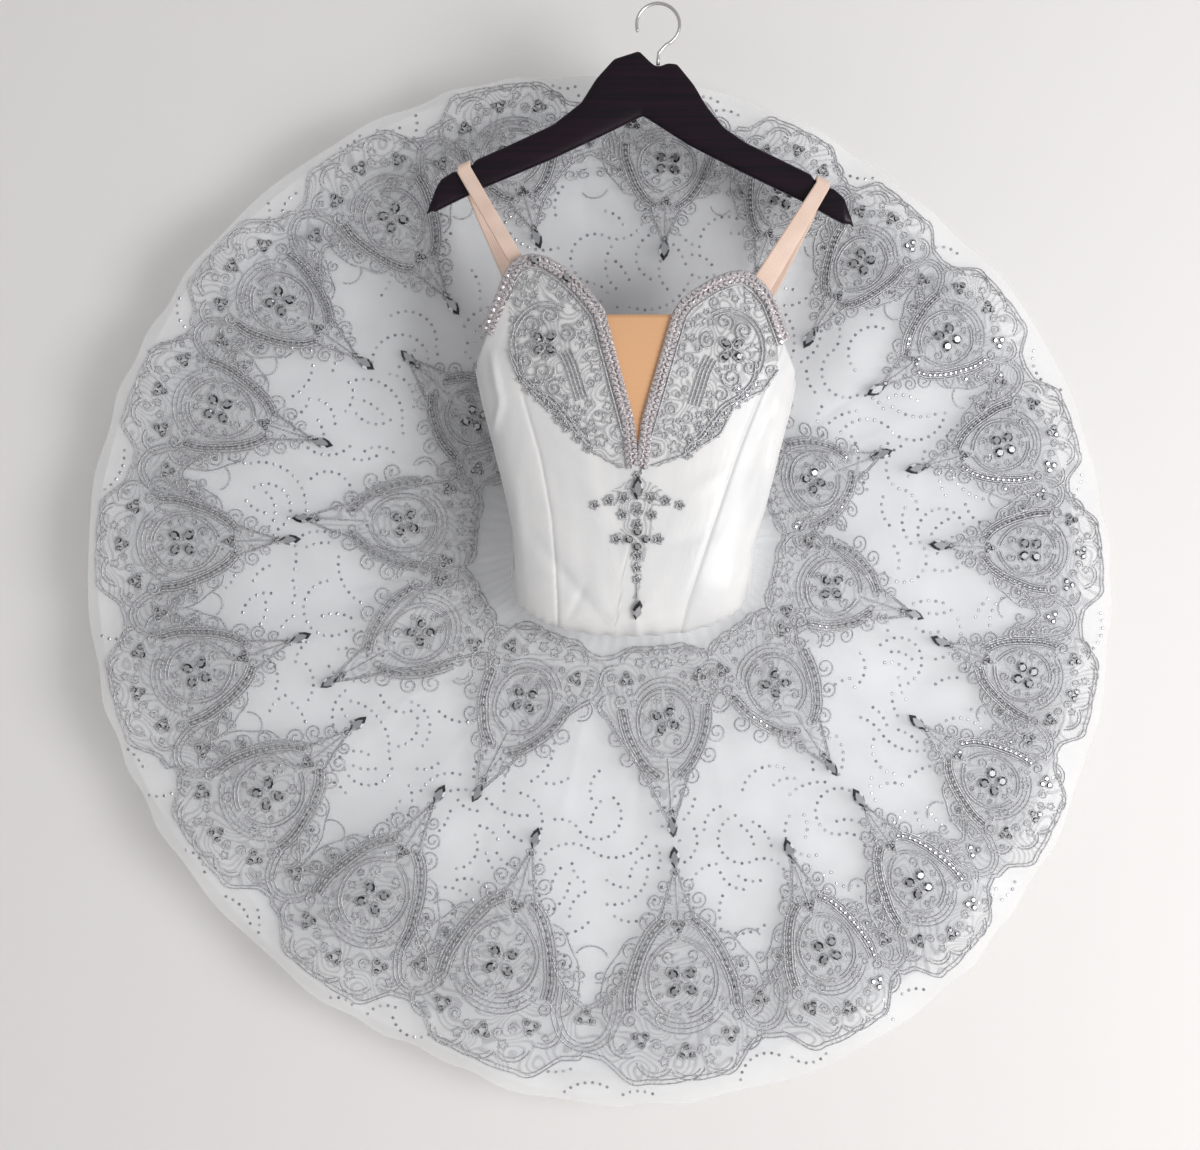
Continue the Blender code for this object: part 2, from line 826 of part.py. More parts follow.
def plate_point(angle, share, rim_share=1.0):
    """Place across the plate, without its depth."""
    turn = math.radians(angle)
    hip = hip_point(turn, 0.0005, 0.0)
    radius = read_table(RIM_RADII, angle % 360.0) * rim_share
    rim = RIM_CENTRE + Vector((radius * math.sin(turn), 0.0, -radius * math.cos(turn)))
    return hip + (rim - hip) * share


def motif_columns(motifs, per_motif):
    """Angles of the columns, the motif they belong to and their step from its middle."""
    columns = []
    count = len(motifs)
    half = per_motif // 2
    for index, motif in enumerate(motifs):
        following = motifs[(index + 1) % count]
        gap = (following[0] - motif[0]) % 360.0
        for step in range(per_motif):
            owner = motif if step <= half else following
            away = step if step <= half else per_motif - step
            columns.append(((motif[0] + gap * step / per_motif) % 360.0, motif, following, owner, away))
    return columns


def overlay_depth(column, share):
    angle, _, _, _, away = column
    wave = math.cos(math.pi * away / (OUTER_COLUMNS / 2))
    own = -RIM_WAVE * share ** 1.5 * wave
    return HIP_Y + (RIM_Y - HIP_Y) * share + plate_fold(angle, share) + own


def overlay_vertex(column, share):
    point = plate_point(column[0], share)
    point.y = overlay_depth(column, share)
    return point


def on_overlay(column, share):
    """Place on the overlay's own flat faces along one of its columns."""
    for low, high in zip(OVERLAY_SHARES, OVERLAY_SHARES[1:]):
        if share <= high:
            way = (share - low) / (high - low)
            return overlay_vertex(column, low).lerp(overlay_vertex(column, high), way)
    return overlay_vertex(column, OVERLAY_SHARES[-1])


def clear_of_overlay(columns, index, share, beside):
    """Foremost place of the overlay near a point of the lace, less the plate's own slope."""
    slope = RIM_Y - HIP_Y
    place = on_overlay(columns[index], share)
    for step in range(-beside, beside + 1):
        for way in (-LACE_REACH, 0.0, LACE_REACH):
            near = min(1.0, max(0.0, share + way))
            other = on_overlay(columns[(index + step) % len(columns)], near)
            place.y = min(place.y, other.y + slope * (share - near))
    return place


def make_overlay(net):
    columns = motif_columns(OUTER_MOTIFS, OUTER_COLUMNS)
    front = [[overlay_vertex(column, share) for column in columns] for share in OVERLAY_SHARES]
    back = [[point + Vector((0.0, NET_THICK, 0.0)) for point in row] for row in front]
    wall("overlay", front, back, net, around=True)


def make_nets(net):
    for name, rim_share, hip_step, rim_step, phase in NET_LAYERS:
        front = []
        for share in NET_SHARES:
            row = []
            for column in range(NET_COLUMNS):
                angle = 360.0 * column / NET_COLUMNS
                point = plate_point(angle, share, rim_share)
                reach = share * rim_share
                own = NET_WAVE * reach ** 1.5 * math.sin(NET_WAVES * math.radians(angle) + phase)
                step = hip_step + (rim_step - hip_step) * reach
                point.y = HIP_Y + (RIM_Y - HIP_Y) * reach + plate_fold(angle, reach) + step + own
                row.append(point)
            front.append(row)
        back = [[point + Vector((0.0, NET_THICK, 0.0)) for point in row] for row in front]
        wall(name, front, back, net, around=True)


def lace_ring(name, motifs, every, edges, shade):
    """Ring of joined motifs on each or each second column of the overlay."""
    overlay_columns = motif_columns(OUTER_MOTIFS, OUTER_COLUMNS)
    outer = []
    inner = []
    for ring, along in enumerate(LACE_RING_SHARES):
        outer_row = []
        inner_row = []
        for step, (owner, away) in enumerate(motifs):
            start, end = edges(owner, away)
            share = start + (end - start) * along
            base = clear_of_overlay(overlay_columns, step * every, share, every - 1)
            lift = MOTIF_LIFTS[ring][away]
            inner_row.append(base - Vector((0.0, LACE_GAP, 0.0)))
            outer_row.append(base - Vector((0.0, LACE_GAP + LACE_THICK + lift, 0.0)))
        outer.append(outer_row)
        inner.append(inner_row)

    def kept(ring, column):
        return not (ring == GAP_RING and column % OUTER_COLUMNS in GAP_COLUMNS)
    wall(name, outer, inner, shade, around=True, kept=kept)


def outer_edges(owner, away):
    share = away / (OUTER_COLUMNS / 2)
    tip = owner[1] + (OUTER_VALLEY - owner[1]) * read_table(MOTIF_PROFILE, share, 1)
    base = owner[2] - read_table(MOTIF_PROFILE, share, 2)
    return tip, base


def inner_edges(owner, away):
    share = away / (OUTER_COLUMNS / 2)
    tip = owner[1] + (INNER_VALLEY - owner[1]) * read_table(MOTIF_PROFILE, share, 1)
    base = owner[0] + 0.4 * read_table(MOTIF_PROFILE, share, 2)
    return tip, base


def make_lace(lace):
    outer_steps = [(column[3], column[4]) for column in motif_columns(OUTER_MOTIFS, OUTER_COLUMNS)]
    lace_ring("outer_lace_border", outer_steps, 1, outer_edges, lace)
    half = OUTER_COLUMNS // 2
    inner_steps = []
    for index, motif in enumerate(INNER_MOTIFS):
        following = INNER_MOTIFS[(index + 1) % len(INNER_MOTIFS)]
        for step in range(OUTER_COLUMNS):
            owner = motif if step <= half else following
            inner_steps.append((owner, step if step <= half else OUTER_COLUMNS - step))
    lace_ring("inner_lace_border", inner_steps, 2, inner_edges, lace)


def make_hanger(wood, metal):
    places = sorted({x for x, _ in HANGER_TOP} | {x for x, _ in HANGER_BOTTOM})
    points = []
    for x in places:
        top = read_table(HANGER_TOP, x)
        bottom = read_table(HANGER_BOTTOM, x)
        edge = min(HANGER_EDGE, 0.3 * (top - bottom))
        half = HANGER_HALF_DEPTH
        flat = half - edge
        section = (
            (-flat, top), (flat, top), (half, top - edge), (half, bottom + edge),
            (flat, bottom), (-flat, bottom), (-half, bottom + edge), (-half, top - edge),
        )
        points += [Vector((x, y, z)) for y, z in section]
    sides = 8
    faces = [list(range(sides))]
    for station in range(len(places) - 1):
        low = station * sides
        for side in range(sides):
            following = (side + 1) % sides
            faces.append([low + following, low + side, low + side + sides, low + following + sides])
    last = (len(places) - 1) * sides
    faces.append([last + side for side in reversed(range(sides))])
    solid("hanger_body", points, faces, wood)
    make_hook(metal)


def make_hook(metal):
    """Question-mark hook: a shank from the hanger's head, then an arc over the rail."""
    radius = HOOK_INNER_RADIUS + HOOK_ROD
    centre_z = -HOOK_INNER_RADIUS
    path = [Vector((0.0, 0.0, HOOK_FOOT_Z)), Vector((0.0, 0.0, HOOK_FOOT_Z + 0.010))]
    for step in range(HOOK_STEPS + 1):
        angle = HOOK_START_ANGLE + (HOOK_END_ANGLE - HOOK_START_ANGLE) * step / HOOK_STEPS
        path.append(Vector((radius * math.cos(angle), 0.0, centre_z + radius * math.sin(angle))))
    points = []
    for index, place in enumerate(path):
        before = path[max(index - 1, 0)]
        after = path[min(index + 1, len(path) - 1)]
        run = (after - before).normalized()
        across = Vector((0.0, 1.0, 0.0)).cross(run)
        for side in range(HOOK_SIDES):
            turn = 2 * math.pi * (side + 0.5) / HOOK_SIDES
            points.append(place + (across * math.cos(turn) + Vector((0, 1, 0)) * math.sin(turn)) * HOOK_ROD)
    faces = [list(range(HOOK_SIDES))]
    for station in range(len(path) - 1):
        low = station * HOOK_SIDES
        for side in range(HOOK_SIDES):
            following = (side + 1) % HOOK_SIDES
            faces.append([low + following, low + side, low + side + HOOK_SIDES, low + following + HOOK_SIDES])
    last = (len(path) - 1) * HOOK_SIDES
    faces.append([last + side for side in reversed(range(HOOK_SIDES))])
    solid("hanger_hook", points, faces, metal)


def behind_back(x, z, depth):
    """Place on the inner side of the bodice's back, seen from the front."""
    def angle_at(level):
        row = smooth_row(BODICE_SECTIONS, level)
        return math.pi - share_to_angle((x - row[4]) / row[5])
    level = level_at_height(angle_at, lambda _: z, 5.2, TOP_LEVEL)
    return bodice_point(angle_at(level), level) - Vector((0.0, depth, 0.0))


def make_straps(elastic):
    """Bands from inside each cup over the hanger's arm to the inside of the back."""
    clear = HANGER_HALF_DEPTH + 0.0006
    sides = (-1.0, 0.0, 1.0)
    depth = SATIN_THICK + STRAP_THICK + FOOT_GAP
    for name, front_x, front_z, back_x, back_z, top_x, top_z, slope, top_half, foot_half in STRAPS:
        across = Vector((1.0, 0.0, slope)).normalized()
        foot_places = [(front_x + across.x * foot_half * side, front_z + across.z * foot_half * side)
                       for side in sides]
        back_places = [(back_x + across.x * top_half * side, back_z + across.z * top_half * side)
                       for side in sides]
        front = [on_bodice(x, z, -depth) for x, z in foot_places]
        back = [behind_back(x, z, depth) for x, z in back_places]
        over = [
            [Vector((top_x, y, top_z + rise)) + across * top_half * side for side in sides]
            for y, rise in ((-clear, -0.004), (-clear * 0.75, 0.0012), (clear * 0.75, 0.0012), (clear, -0.004))
        ]
        front_middle = [low.lerp(high, 0.5) for low, high in zip(front, over[0])]
        back_middle = [low.lerp(high, 0.5) for low, high in zip(back, over[-1])]
        inner = [front, front_middle, *over, back_middle, back]
        outer = []
        for index, row in enumerate(inner):
            before = inner[max(index - 1, 0)][1]
            after = inner[min(index + 1, len(inner) - 1)][1]
            out = (after - before).cross(across).normalized() * STRAP_THICK
            outer.append([place - out for place in row])
        wall(name, outer, inner, elastic)


def main():
    clear_scene()
    satin = material("white_satin", (0.85, 0.85, 0.84), 0.42)
    net = material("white_net", (0.78, 0.79, 0.80), 0.7)
    lace = material("silver_corded_lace", (0.36, 0.36, 0.37), 0.4, 0.5)
    beads = material("crystal_bead_trim", (0.62, 0.61, 0.62), 0.2, 0.6)
    nude_net = material("nude_mesh", (0.70, 0.45, 0.28), 0.6)
    elastic = material("nude_elastic", (0.80, 0.62, 0.52), 0.6)
    cotton = material("white_knickers_cloth", (0.82, 0.82, 0.82), 0.7)
    wood = material("dark_lacquered_wood", (0.012, 0.006, 0.012), 0.25)
    metal = material("plated_steel", (0.6, 0.6, 0.62), 0.25, 1.0)
    facets = make_bodice(satin, nude_net)
    make_trims(facets, lace, beads)
    make_basque(satin)
    make_knickers(cotton)
    make_overlay(net)
    make_nets(net)
    make_lace(lace)
    make_straps(elastic)
    make_hanger(wood, metal)


main()
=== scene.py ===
import math
import random

import bmesh
import bpy
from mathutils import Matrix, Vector


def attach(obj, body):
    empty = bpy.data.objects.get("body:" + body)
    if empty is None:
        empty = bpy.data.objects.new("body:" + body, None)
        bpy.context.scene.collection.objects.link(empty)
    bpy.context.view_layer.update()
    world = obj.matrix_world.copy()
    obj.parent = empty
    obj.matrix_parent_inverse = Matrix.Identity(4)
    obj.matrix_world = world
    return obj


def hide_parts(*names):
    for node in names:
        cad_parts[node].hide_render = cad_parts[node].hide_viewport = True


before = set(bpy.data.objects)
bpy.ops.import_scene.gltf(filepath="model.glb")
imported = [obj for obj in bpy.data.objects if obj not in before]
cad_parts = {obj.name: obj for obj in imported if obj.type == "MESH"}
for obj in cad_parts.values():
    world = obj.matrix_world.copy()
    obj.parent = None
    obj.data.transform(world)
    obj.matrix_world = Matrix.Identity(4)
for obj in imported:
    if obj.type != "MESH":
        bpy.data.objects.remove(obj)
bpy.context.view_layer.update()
print("frame loaded:", len(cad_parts), "nodes")

# Pancake tutu on a dark wooden hanger. Metres, the front faces -Y, left is -X.


# Small tools

def hexColour(code):
    # sRGB hex to linear
    parts = [int(code[start:start + 2], 16) / 255 for start in (0, 2, 4)]
    return (*[v / 12.92 if v <= 0.04045 else ((v + 0.055) / 1.055) ** 2.4 for v in parts], 1.0)


def addNode(tree, kind, inputs=None, stops=(), **settings):
    # a socket as value makes a link, anything else is set; stops are a ramp's places and colours
    node = tree.nodes.new(kind)
    for name, value in settings.items():
        setattr(node, name, value)
    for key, value in (inputs or {}).items():
        if isinstance(value, bpy.types.NodeSocket):
            tree.links.new(value, node.inputs[key])
        else:
            node.inputs[key].default_value = value
    for index, (place, colour) in enumerate(stops):
        node.color_ramp.elements[index].position = place
        node.color_ramp.elements[index].color = colour
    return node


def newMaterial(name, colour, **sockets):
    material = bpy.data.materials.new(name)
    material.use_nodes = True
    shader = material.node_tree.nodes["Principled BSDF"]
    shader.inputs["Base Color"].default_value = hexColour(colour)
    for socket, value in sockets.items():
        shader.inputs[socket.replace("_", " ")].default_value = value
    return material, material.node_tree, shader


def readTable(table, value, column=1):
    if value <= table[0][0]:
        return table[0][column]
    for low, high in zip(table, table[1:]):
        if value <= high[0]:
            way = (value - low[0]) / (high[0] - low[0])
            return low[column] + (high[column] - low[column]) * way
    return table[-1][column]


def curvedRow(before, start, end, after, way):
    # smooth curve from start to end, with a slope that its neighbours give
    return [
        (2 * way ** 3 - 3 * way ** 2 + 1) * b + (way ** 3 - 2 * way ** 2 + way) * (c - a) / 2
        + (-2 * way ** 3 + 3 * way ** 2) * c + (way ** 3 - way ** 2) * (d - b) / 2
        for a, b, c, d in zip(before, start, end, after)
    ]


def smoothRow(table, level):
    last = len(table) - 1
    low = max(0, min(int(math.floor(level)), last - 1))
    way = level - low
    rows = (table[max(low - 1, 0)], table[low], table[low + 1], table[min(low + 2, last)])
    return curvedRow(*rows, way)


def signedPower(value, power):
    return math.copysign(abs(value) ** power, value)


def swell(away, spread):
    return math.exp(-(away / spread) ** 2)


def turnBetween(angle, middle):
    return (angle - middle + 180.0) % 360.0 - 180.0


def addObject(name, mesh, material=None):
    obj = bpy.data.objects.new(name, mesh)
    bpy.context.scene.collection.objects.link(obj)
    if material:
        mesh.materials.append(material)
    return obj


def finishPiece(obj, slotName, *nodes):
    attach(obj, "root")
    if nodes:
        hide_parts(*nodes)
    return obj


def gridMesh(name, rows, material, around=False, thick=0.0, uvs=None, flip=False):
    # smooth sheet over rows of points, its faces to the side that the first rows turn to
    columns = len(rows[0])
    cells = columns if around else columns - 1
    points = [tuple(point) for row in rows for point in row]
    faces = []
    corners = []
    for row in range(len(rows) - 1):
        for column in range(cells):
            ring = ((row, column), (row, column + 1), (row + 1, column + 1), (row + 1, column))
            if flip:
                ring = ring[::-1]
            faces.append([r * columns + c % columns for r, c in ring])
            corners += ring
    mesh = bpy.data.meshes.new(name)
    mesh.from_pydata(points, [], faces)
    layer = mesh.uv_layers.new(name="cloth")
    for loop, (row, column) in enumerate(corners):
        layer.data[loop].uv = uvs(row, column) if uvs else (column * 0.01, row * 0.01)
    mesh.shade_smooth()
    obj = addObject(name, mesh, material)
    if thick:
        shell = obj.modifiers.new("thickness", "SOLIDIFY")
        shell.thickness = thick
        shell.offset = -1.0
        shell.use_even_offset = False
    return obj


def closedMesh(name, points, faces, material):
    mesh = bpy.data.meshes.new(name)
    mesh.from_pydata(points, [], faces)
    shell = bmesh.new()
    shell.from_mesh(mesh)
    bmesh.ops.recalc_face_normals(shell, faces=shell.faces)
    shell.to_mesh(mesh)
    shell.free()
    mesh.shade_smooth()
    return addObject(name, mesh, material)


# Geometry node trees

def newTree(name, sockets):
    tree = bpy.data.node_groups.new(name, "GeometryNodeTree")
    tree.interface.new_socket("Geometry", in_out="INPUT", socket_type="NodeSocketGeometry")
    for label, kind in sockets:
        tree.interface.new_socket(label, in_out="INPUT", socket_type="NodeSocket" + kind)
    tree.interface.new_socket("Geometry", in_out="OUTPUT", socket_type="NodeSocketGeometry")
    return tree, tree.nodes.new("NodeGroupInput").outputs


def closeTree(tree, geometry, material):
    real = addNode(tree, "GeometryNodeRealizeInstances", {"Geometry": geometry})
    painted = addNode(tree, "GeometryNodeSetMaterial",
                      {"Geometry": real.outputs["Geometry"], "Material": material})
    addNode(tree, "NodeGroupOutput", {"Geometry": painted.outputs["Geometry"]})
    return tree


def laidOnCloth(tree, ins, rise):
    # points drop along +Y onto the cloth, and rise along its normal
    cloth = addNode(tree, "GeometryNodeObjectInfo", {"Object": ins["Cloth"]})
    place = addNode(tree, "ShaderNodeSeparateXYZ",
                    {0: addNode(tree, "GeometryNodeInputPosition").outputs[0]})
    start = addNode(tree, "ShaderNodeCombineXYZ",
                    {"X": place.outputs["X"], "Y": -1.0, "Z": place.outputs["Z"]})
    ray = addNode(tree, "GeometryNodeRaycast", {
        "Target Geometry": cloth.outputs["Geometry"],
        "Source Position": start.outputs[0],
        "Ray Direction": (0.0, 1.0, 0.0),
        "Ray Length": 3.0,
    })
    missed = addNode(tree, "FunctionNodeBooleanMath", {0: ray.outputs["Is Hit"]}, operation="NOT")
    kept = addNode(tree, "GeometryNodeDeleteGeometry",
                   {"Geometry": ins["Geometry"], "Selection": missed.outputs[0]})
    lift = addNode(tree, "ShaderNodeVectorMath",
                   {0: ray.outputs["Hit Normal"], "Scale": rise}, operation="SCALE")
    put = addNode(tree, "ShaderNodeVectorMath",
                  {0: ray.outputs["Hit Position"], 1: lift.outputs[0]}, operation="ADD")
    laid = addNode(tree, "GeometryNodeSetPosition",
                   {"Geometry": kept.outputs["Geometry"], "Position": put.outputs[0]})
    return laid.outputs["Geometry"], ray.outputs["Hit Normal"]


def ownValue(tree, name):
    return addNode(tree, "GeometryNodeInputNamedAttribute", {"Name": name}, data_type="FLOAT").outputs[0]


def makeCordTree():
    tree, ins = newTree("cordOnCloth", (("Cloth", "Object"), ("Sides", "Int"), ("Finish", "Material")))
    laid, _ = laidOnCloth(tree, ins, ownValue(tree, "rise"))
    lines = addNode(tree, "GeometryNodeMeshToCurve", {"Mesh": laid})
    section = addNode(tree, "GeometryNodeCurvePrimitiveCircle", {"Resolution": ins["Sides"], "Radius": 1.0})
    cords = addNode(tree, "GeometryNodeCurveToMesh", {
        "Curve": lines.outputs["Curve"],
        "Profile Curve": section.outputs["Curve"],
        "Scale": ownValue(tree, "size"),
        "Fill Caps": True,
    })
    rounded = addNode(tree, "GeometryNodeSetShadeSmooth", {"Geometry": cords.outputs["Mesh"]})
    return closeTree(tree, rounded.outputs["Geometry"], ins["Finish"])


def makeStoneTree():
    tree, ins = newTree("stonesOnCloth", (("Cloth", "Object"), ("Stone", "Object"), ("Finish", "Material")))
    laid, normal = laidOnCloth(tree, ins, ownValue(tree, "rise"))
    stone = addNode(tree, "GeometryNodeObjectInfo", {"Object": ins["Stone"]})
    facing = addNode(tree, "FunctionNodeAlignRotationToVector", {"Vector": normal}, axis="Z")
    about = addNode(tree, "FunctionNodeAxisAngleToRotation",
                    {"Axis": (0.0, 0.0, 1.0), "Angle": ownValue(tree, "turn")})
    turned = addNode(tree, "FunctionNodeRotateRotation",
                     {"Rotation": facing.outputs[0], "Rotate By": about.outputs[0]}, rotation_space="LOCAL")
    sewn = addNode(tree, "GeometryNodeInstanceOnPoints", {
        "Points": laid,
        "Instance": stone.outputs["Geometry"],
        "Rotation": turned.outputs[0],
        "Scale": ownValue(tree, "size"),
    })
    return closeTree(tree, sewn.outputs["Instances"], ins["Finish"])


def runTree(name, points, edges, values, tree, sockets):
    # points seen from the front as (x, z), with one list for each named value
    mesh = bpy.data.meshes.new(name)
    mesh.from_pydata([(x, -0.5, z) for x, z in points], edges, [])
    for label, numbers in values.items():
        mesh.attributes.new(label, "FLOAT", "POINT").data.foreach_set("value", numbers)
    obj = addObject(name, mesh)
    modifier = obj.modifiers.new(name, "NODES")
    modifier.node_group = tree
    for item in tree.interface.items_tree:
        if item.in_out == "INPUT" and item.name in sockets:
            modifier[item.identifier] = sockets[item.name]
    bpy.context.view_layer.update()
    solid = bpy.data.meshes.new_from_object(obj.evaluated_get(bpy.context.evaluated_depsgraph_get()))
    obj.modifiers.remove(modifier)
    obj.data = solid
    triangles = sum(len(face.vertices) - 2 for face in solid.polygons)
    print(name, "made,", triangles, "triangles")
    return obj


cordTree = makeCordTree()
stoneTree = makeStoneTree()

# Camera, light and stage

view = {
    "cameraPlace": (-0.056, -2.315, -0.5498),
    "lens": 72.0,
    "wallY": 0.152,
    "floorZ": -2.0,
    "wallColour": "E2E0DE",
    "floorColour": "E4E2E0",
    "worldColour": "F1F1F2",
    "worldStrength": 0.60,
    "keyPlace": (1.75, -2.05, -0.85),
    "keySize": 1.3,
    "keyPower": 52.0,
    "backPlace": (-0.8, 2.4, 0.5),
    "backPower": 30.0,
}


def pointAt(obj, place, target):
    obj.location = place
    obj.rotation_euler = (Vector(target) - Vector(place)).to_track_quat("-Z", "Y").to_euler()


def makeView():
    scene = bpy.context.scene
    camera = bpy.data.objects.new("camera", bpy.data.cameras.new("camera"))
    scene.collection.objects.link(camera)
    camera.location = view["cameraPlace"]
    camera.rotation_euler = (math.radians(90.0), 0.0, 0.0)
    camera.data.lens = view["lens"]
    camera.data.sensor_width = 36.0
    scene.camera = camera
    scene.view_settings.view_transform = "Standard"
    for name, place, size, power in (
        ("key", view["keyPlace"], view["keySize"], view["keyPower"]),
        ("back", view["backPlace"], 1.6, view["backPower"]),
    ):
        lamp = bpy.data.objects.new(name, bpy.data.lights.new(name, "AREA"))
        lamp.data.size = size
        lamp.data.energy = power
        scene.collection.objects.link(lamp)
        pointAt(lamp, place, (-0.05, 0.05, -0.55))
    world = bpy.data.worlds.new("studio")
    scene.world = world
    world.use_nodes = True
    background = world.node_tree.nodes["Background"]
    background.inputs["Color"].default_value = hexColour(view["worldColour"])
    background.inputs["Strength"].default_value = view["worldStrength"]

    # painted plaster, seen from the room side only, so that the back of the garment can be looked at
    plaster, tree, shader = newMaterial("mattPaintedPlaster", view["wallColour"], Roughness=0.9)
    side = addNode(tree, "ShaderNodeNewGeometry")
    path = addNode(tree, "ShaderNodeLightPath")
    through = addNode(tree, "ShaderNodeMath",
                      {0: side.outputs["Backfacing"], 1: path.outputs["Is Shadow Ray"]}, operation="MAXIMUM")
    clear = addNode(tree, "ShaderNodeBsdfTransparent")
    mixed = addNode(tree, "ShaderNodeMixShader",
                    {0: through.outputs[0], 1: shader.outputs[0], 2: clear.outputs[0]})
    tree.links.new(mixed.outputs[0], tree.nodes["Material Output"].inputs["Surface"])
    wallMesh = bpy.data.meshes.new("wall")
    y = view["wallY"]
    wallMesh.from_pydata([(-4, y, view["floorZ"]), (4, y, view["floorZ"]), (4, y, 2.5), (-4, y, 2.5)],
                         [], [(0, 1, 2, 3)])
    wall = addObject("wall", wallMesh, plaster)
    paleFloor = newMaterial("paleStudioFloor", view["floorColour"], Roughness=0.8)[0]
    floorMesh = bpy.data.meshes.new("floor")
    floorMesh.from_pydata([(-5, -5, view["floorZ"]), (5, -5, view["floorZ"]),
                           (5, 5, view["floorZ"]), (-5, 5, view["floorZ"])], [], [(0, 1, 2, 3)])
    floor = addObject("floor", floorMesh, paleFloor)
    print("camera, light and stage made")


makeView()

# Materials

# white duchesse satin: smooth, heavy, a soft gloss along its floats
# its threads lie 0.1 mm apart and are drawn 0.9 mm apart to show
satin, tree, shader = newMaterial("whiteDuchesseSatin", "E6E5E4", Roughness=0.38, Sheen_Weight=0.08)
cloth = addNode(tree, "ShaderNodeUVMap", uv_map="cloth")
cloudy = addNode(tree, "ShaderNodeTexNoise", {"Vector": cloth.outputs[0], "Scale": 14.0, "Detail": 3.0})
tone = addNode(tree, "ShaderNodeValToRGB", {0: cloudy.outputs[0]},
               stops=((0.35, hexColour("D3D3D4")), (0.65, hexColour("DFDEDD"))))
tree.links.new(tone.outputs[0], shader.inputs["Base Color"])
stretched = addNode(tree, "ShaderNodeMapping", {"Vector": cloth.outputs[0], "Scale": (1100.0, 160.0, 1.0)})
floats = addNode(tree, "ShaderNodeTexNoise", {"Vector": stretched.outputs[0], "Scale": 1.0, "Detail": 2.0})
waves = addNode(tree, "ShaderNodeTexNoise", {"Vector": cloth.outputs[0], "Scale": 55.0, "Detail": 2.0})
fine = addNode(tree, "ShaderNodeBump", {"Height": floats.outputs[0], "Strength": 0.12, "Distance": 0.0004})
soft = addNode(tree, "ShaderNodeBump", {"Height": waves.outputs[0], "Strength": 0.10, "Distance": 0.003,
                                        "Normal": fine.outputs[0]})
tree.links.new(soft.outputs[0], shader.inputs["Normal"])


def tulle(name, colour, cover):
    # stiff hexagonal tulle: see-through, matt, its 1.2 mm holes too fine to show one by one
    material, tree, shader = newMaterial(name, colour, Roughness=0.75, Sheen_Weight=0.2, Alpha=cover)
    place = addNode(tree, "ShaderNodeTexCoord")
    clouds = addNode(tree, "ShaderNodeTexNoise",
                     {"Vector": place.outputs["Object"], "Scale": 24.0, "Detail": 1.0})
    shade = addNode(tree, "ShaderNodeValToRGB", {0: clouds.outputs[0]},
                    stops=((0.3, [part * 0.93 for part in hexColour(colour)[:3]] + [1.0]),
                           (0.7, hexColour(colour))))
    tree.links.new(shade.outputs[0], shader.inputs["Base Color"])
    return material


# pale nude power mesh over a nude lining: flat and warm, no gloss
nudeMesh, tree, shader = newMaterial("nudePowerMesh", "D9A77A", Roughness=0.7, Sheen_Weight=0.2)
cloth = addNode(tree, "ShaderNodeUVMap", uv_map="cloth")
cells = addNode(tree, "ShaderNodeTexVoronoi", {"Vector": cloth.outputs[0], "Scale": 900.0, "Randomness": 0.2},
                feature="DISTANCE_TO_EDGE")
knit = addNode(tree, "ShaderNodeValToRGB", {0: cells.outputs["Distance"]},
               stops=((0.0, hexColour("E0B087")), (0.3, hexColour("CF9B6C"))))
tree.links.new(knit.outputs[0], shader.inputs["Base Color"])

# silver lurex cord: twisted metal thread; a fine noise gives the twist's bump and, as lighter and darker
# grey, painted glitter
cordSilver, tree, shader = newMaterial("silverLurexCord", "B4B4B8", Roughness=0.40, Metallic=0.30)
place = addNode(tree, "ShaderNodeTexCoord")
twistAndGlitter = addNode(tree, "ShaderNodeTexNoise",
                {"Vector": place.outputs["Object"], "Scale": 700.0, "Detail": 2.0})
paintedGlitter = addNode(tree, "ShaderNodeValToRGB", {0: twistAndGlitter.outputs[0]},
                stops=((0.38, hexColour("97979B")), (0.62, hexColour("D8D8DB"))))
tree.links.new(paintedGlitter.outputs[0], shader.inputs["Base Color"])
ridge = addNode(tree, "ShaderNodeBump", {"Height": twistAndGlitter.outputs[0], "Strength": 0.5, "Distance": 0.0004})
tree.links.new(ridge.outputs[0], shader.inputs["Normal"])


def embroider(tree, shader, source, scale, lines, ground, thread, openings):
    # winding rows of stitches about 3.5 mm apart: contour lines of a smooth noise
    hills = addNode(tree, "ShaderNodeTexNoise", {"Vector": source, "Scale": scale, "Detail": 0.0})
    steps = addNode(tree, "ShaderNodeMath", {0: hills.outputs[0], 1: lines}, operation="MULTIPLY")
    rows = addNode(tree, "ShaderNodeMath", {0: steps.outputs[0], 1: 1.0}, operation="PINGPONG")
    shade = addNode(tree, "ShaderNodeValToRGB", {0: rows.outputs[0]},
                    stops=((0.25, hexColour(thread)), (0.50, hexColour(ground))))
    tree.links.new(shade.outputs[0], shader.inputs["Base Color"])
    relief = addNode(tree, "ShaderNodeBump", {"Height": rows.outputs[0], "Strength": 0.5, "Distance": 0.0008},
                     invert=True)
    tree.links.new(relief.outputs[0], shader.inputs["Normal"])
    if openings:
        cover = addNode(tree, "ShaderNodeMapRange", {
            "Value": rows.outputs[0], "From Min": 0.2, "From Max": 0.5,
            "To Min": openings[0], "To Max": openings[1]})
        tree.links.new(cover.outputs[0], shader.inputs["Alpha"])


# embroidered net ground between the cords: winding rows of silver stitches on net, half open
laceGround, tree, shader = newMaterial("silverEmbroideredNet", "C6C7CA", Roughness=0.5, Metallic=0.1)
embroider(tree, shader, addNode(tree, "ShaderNodeTexCoord").outputs["Object"], 30.0, 26.0,
          "DEDFE1", "AEAEB2", (0.50, 0.08))

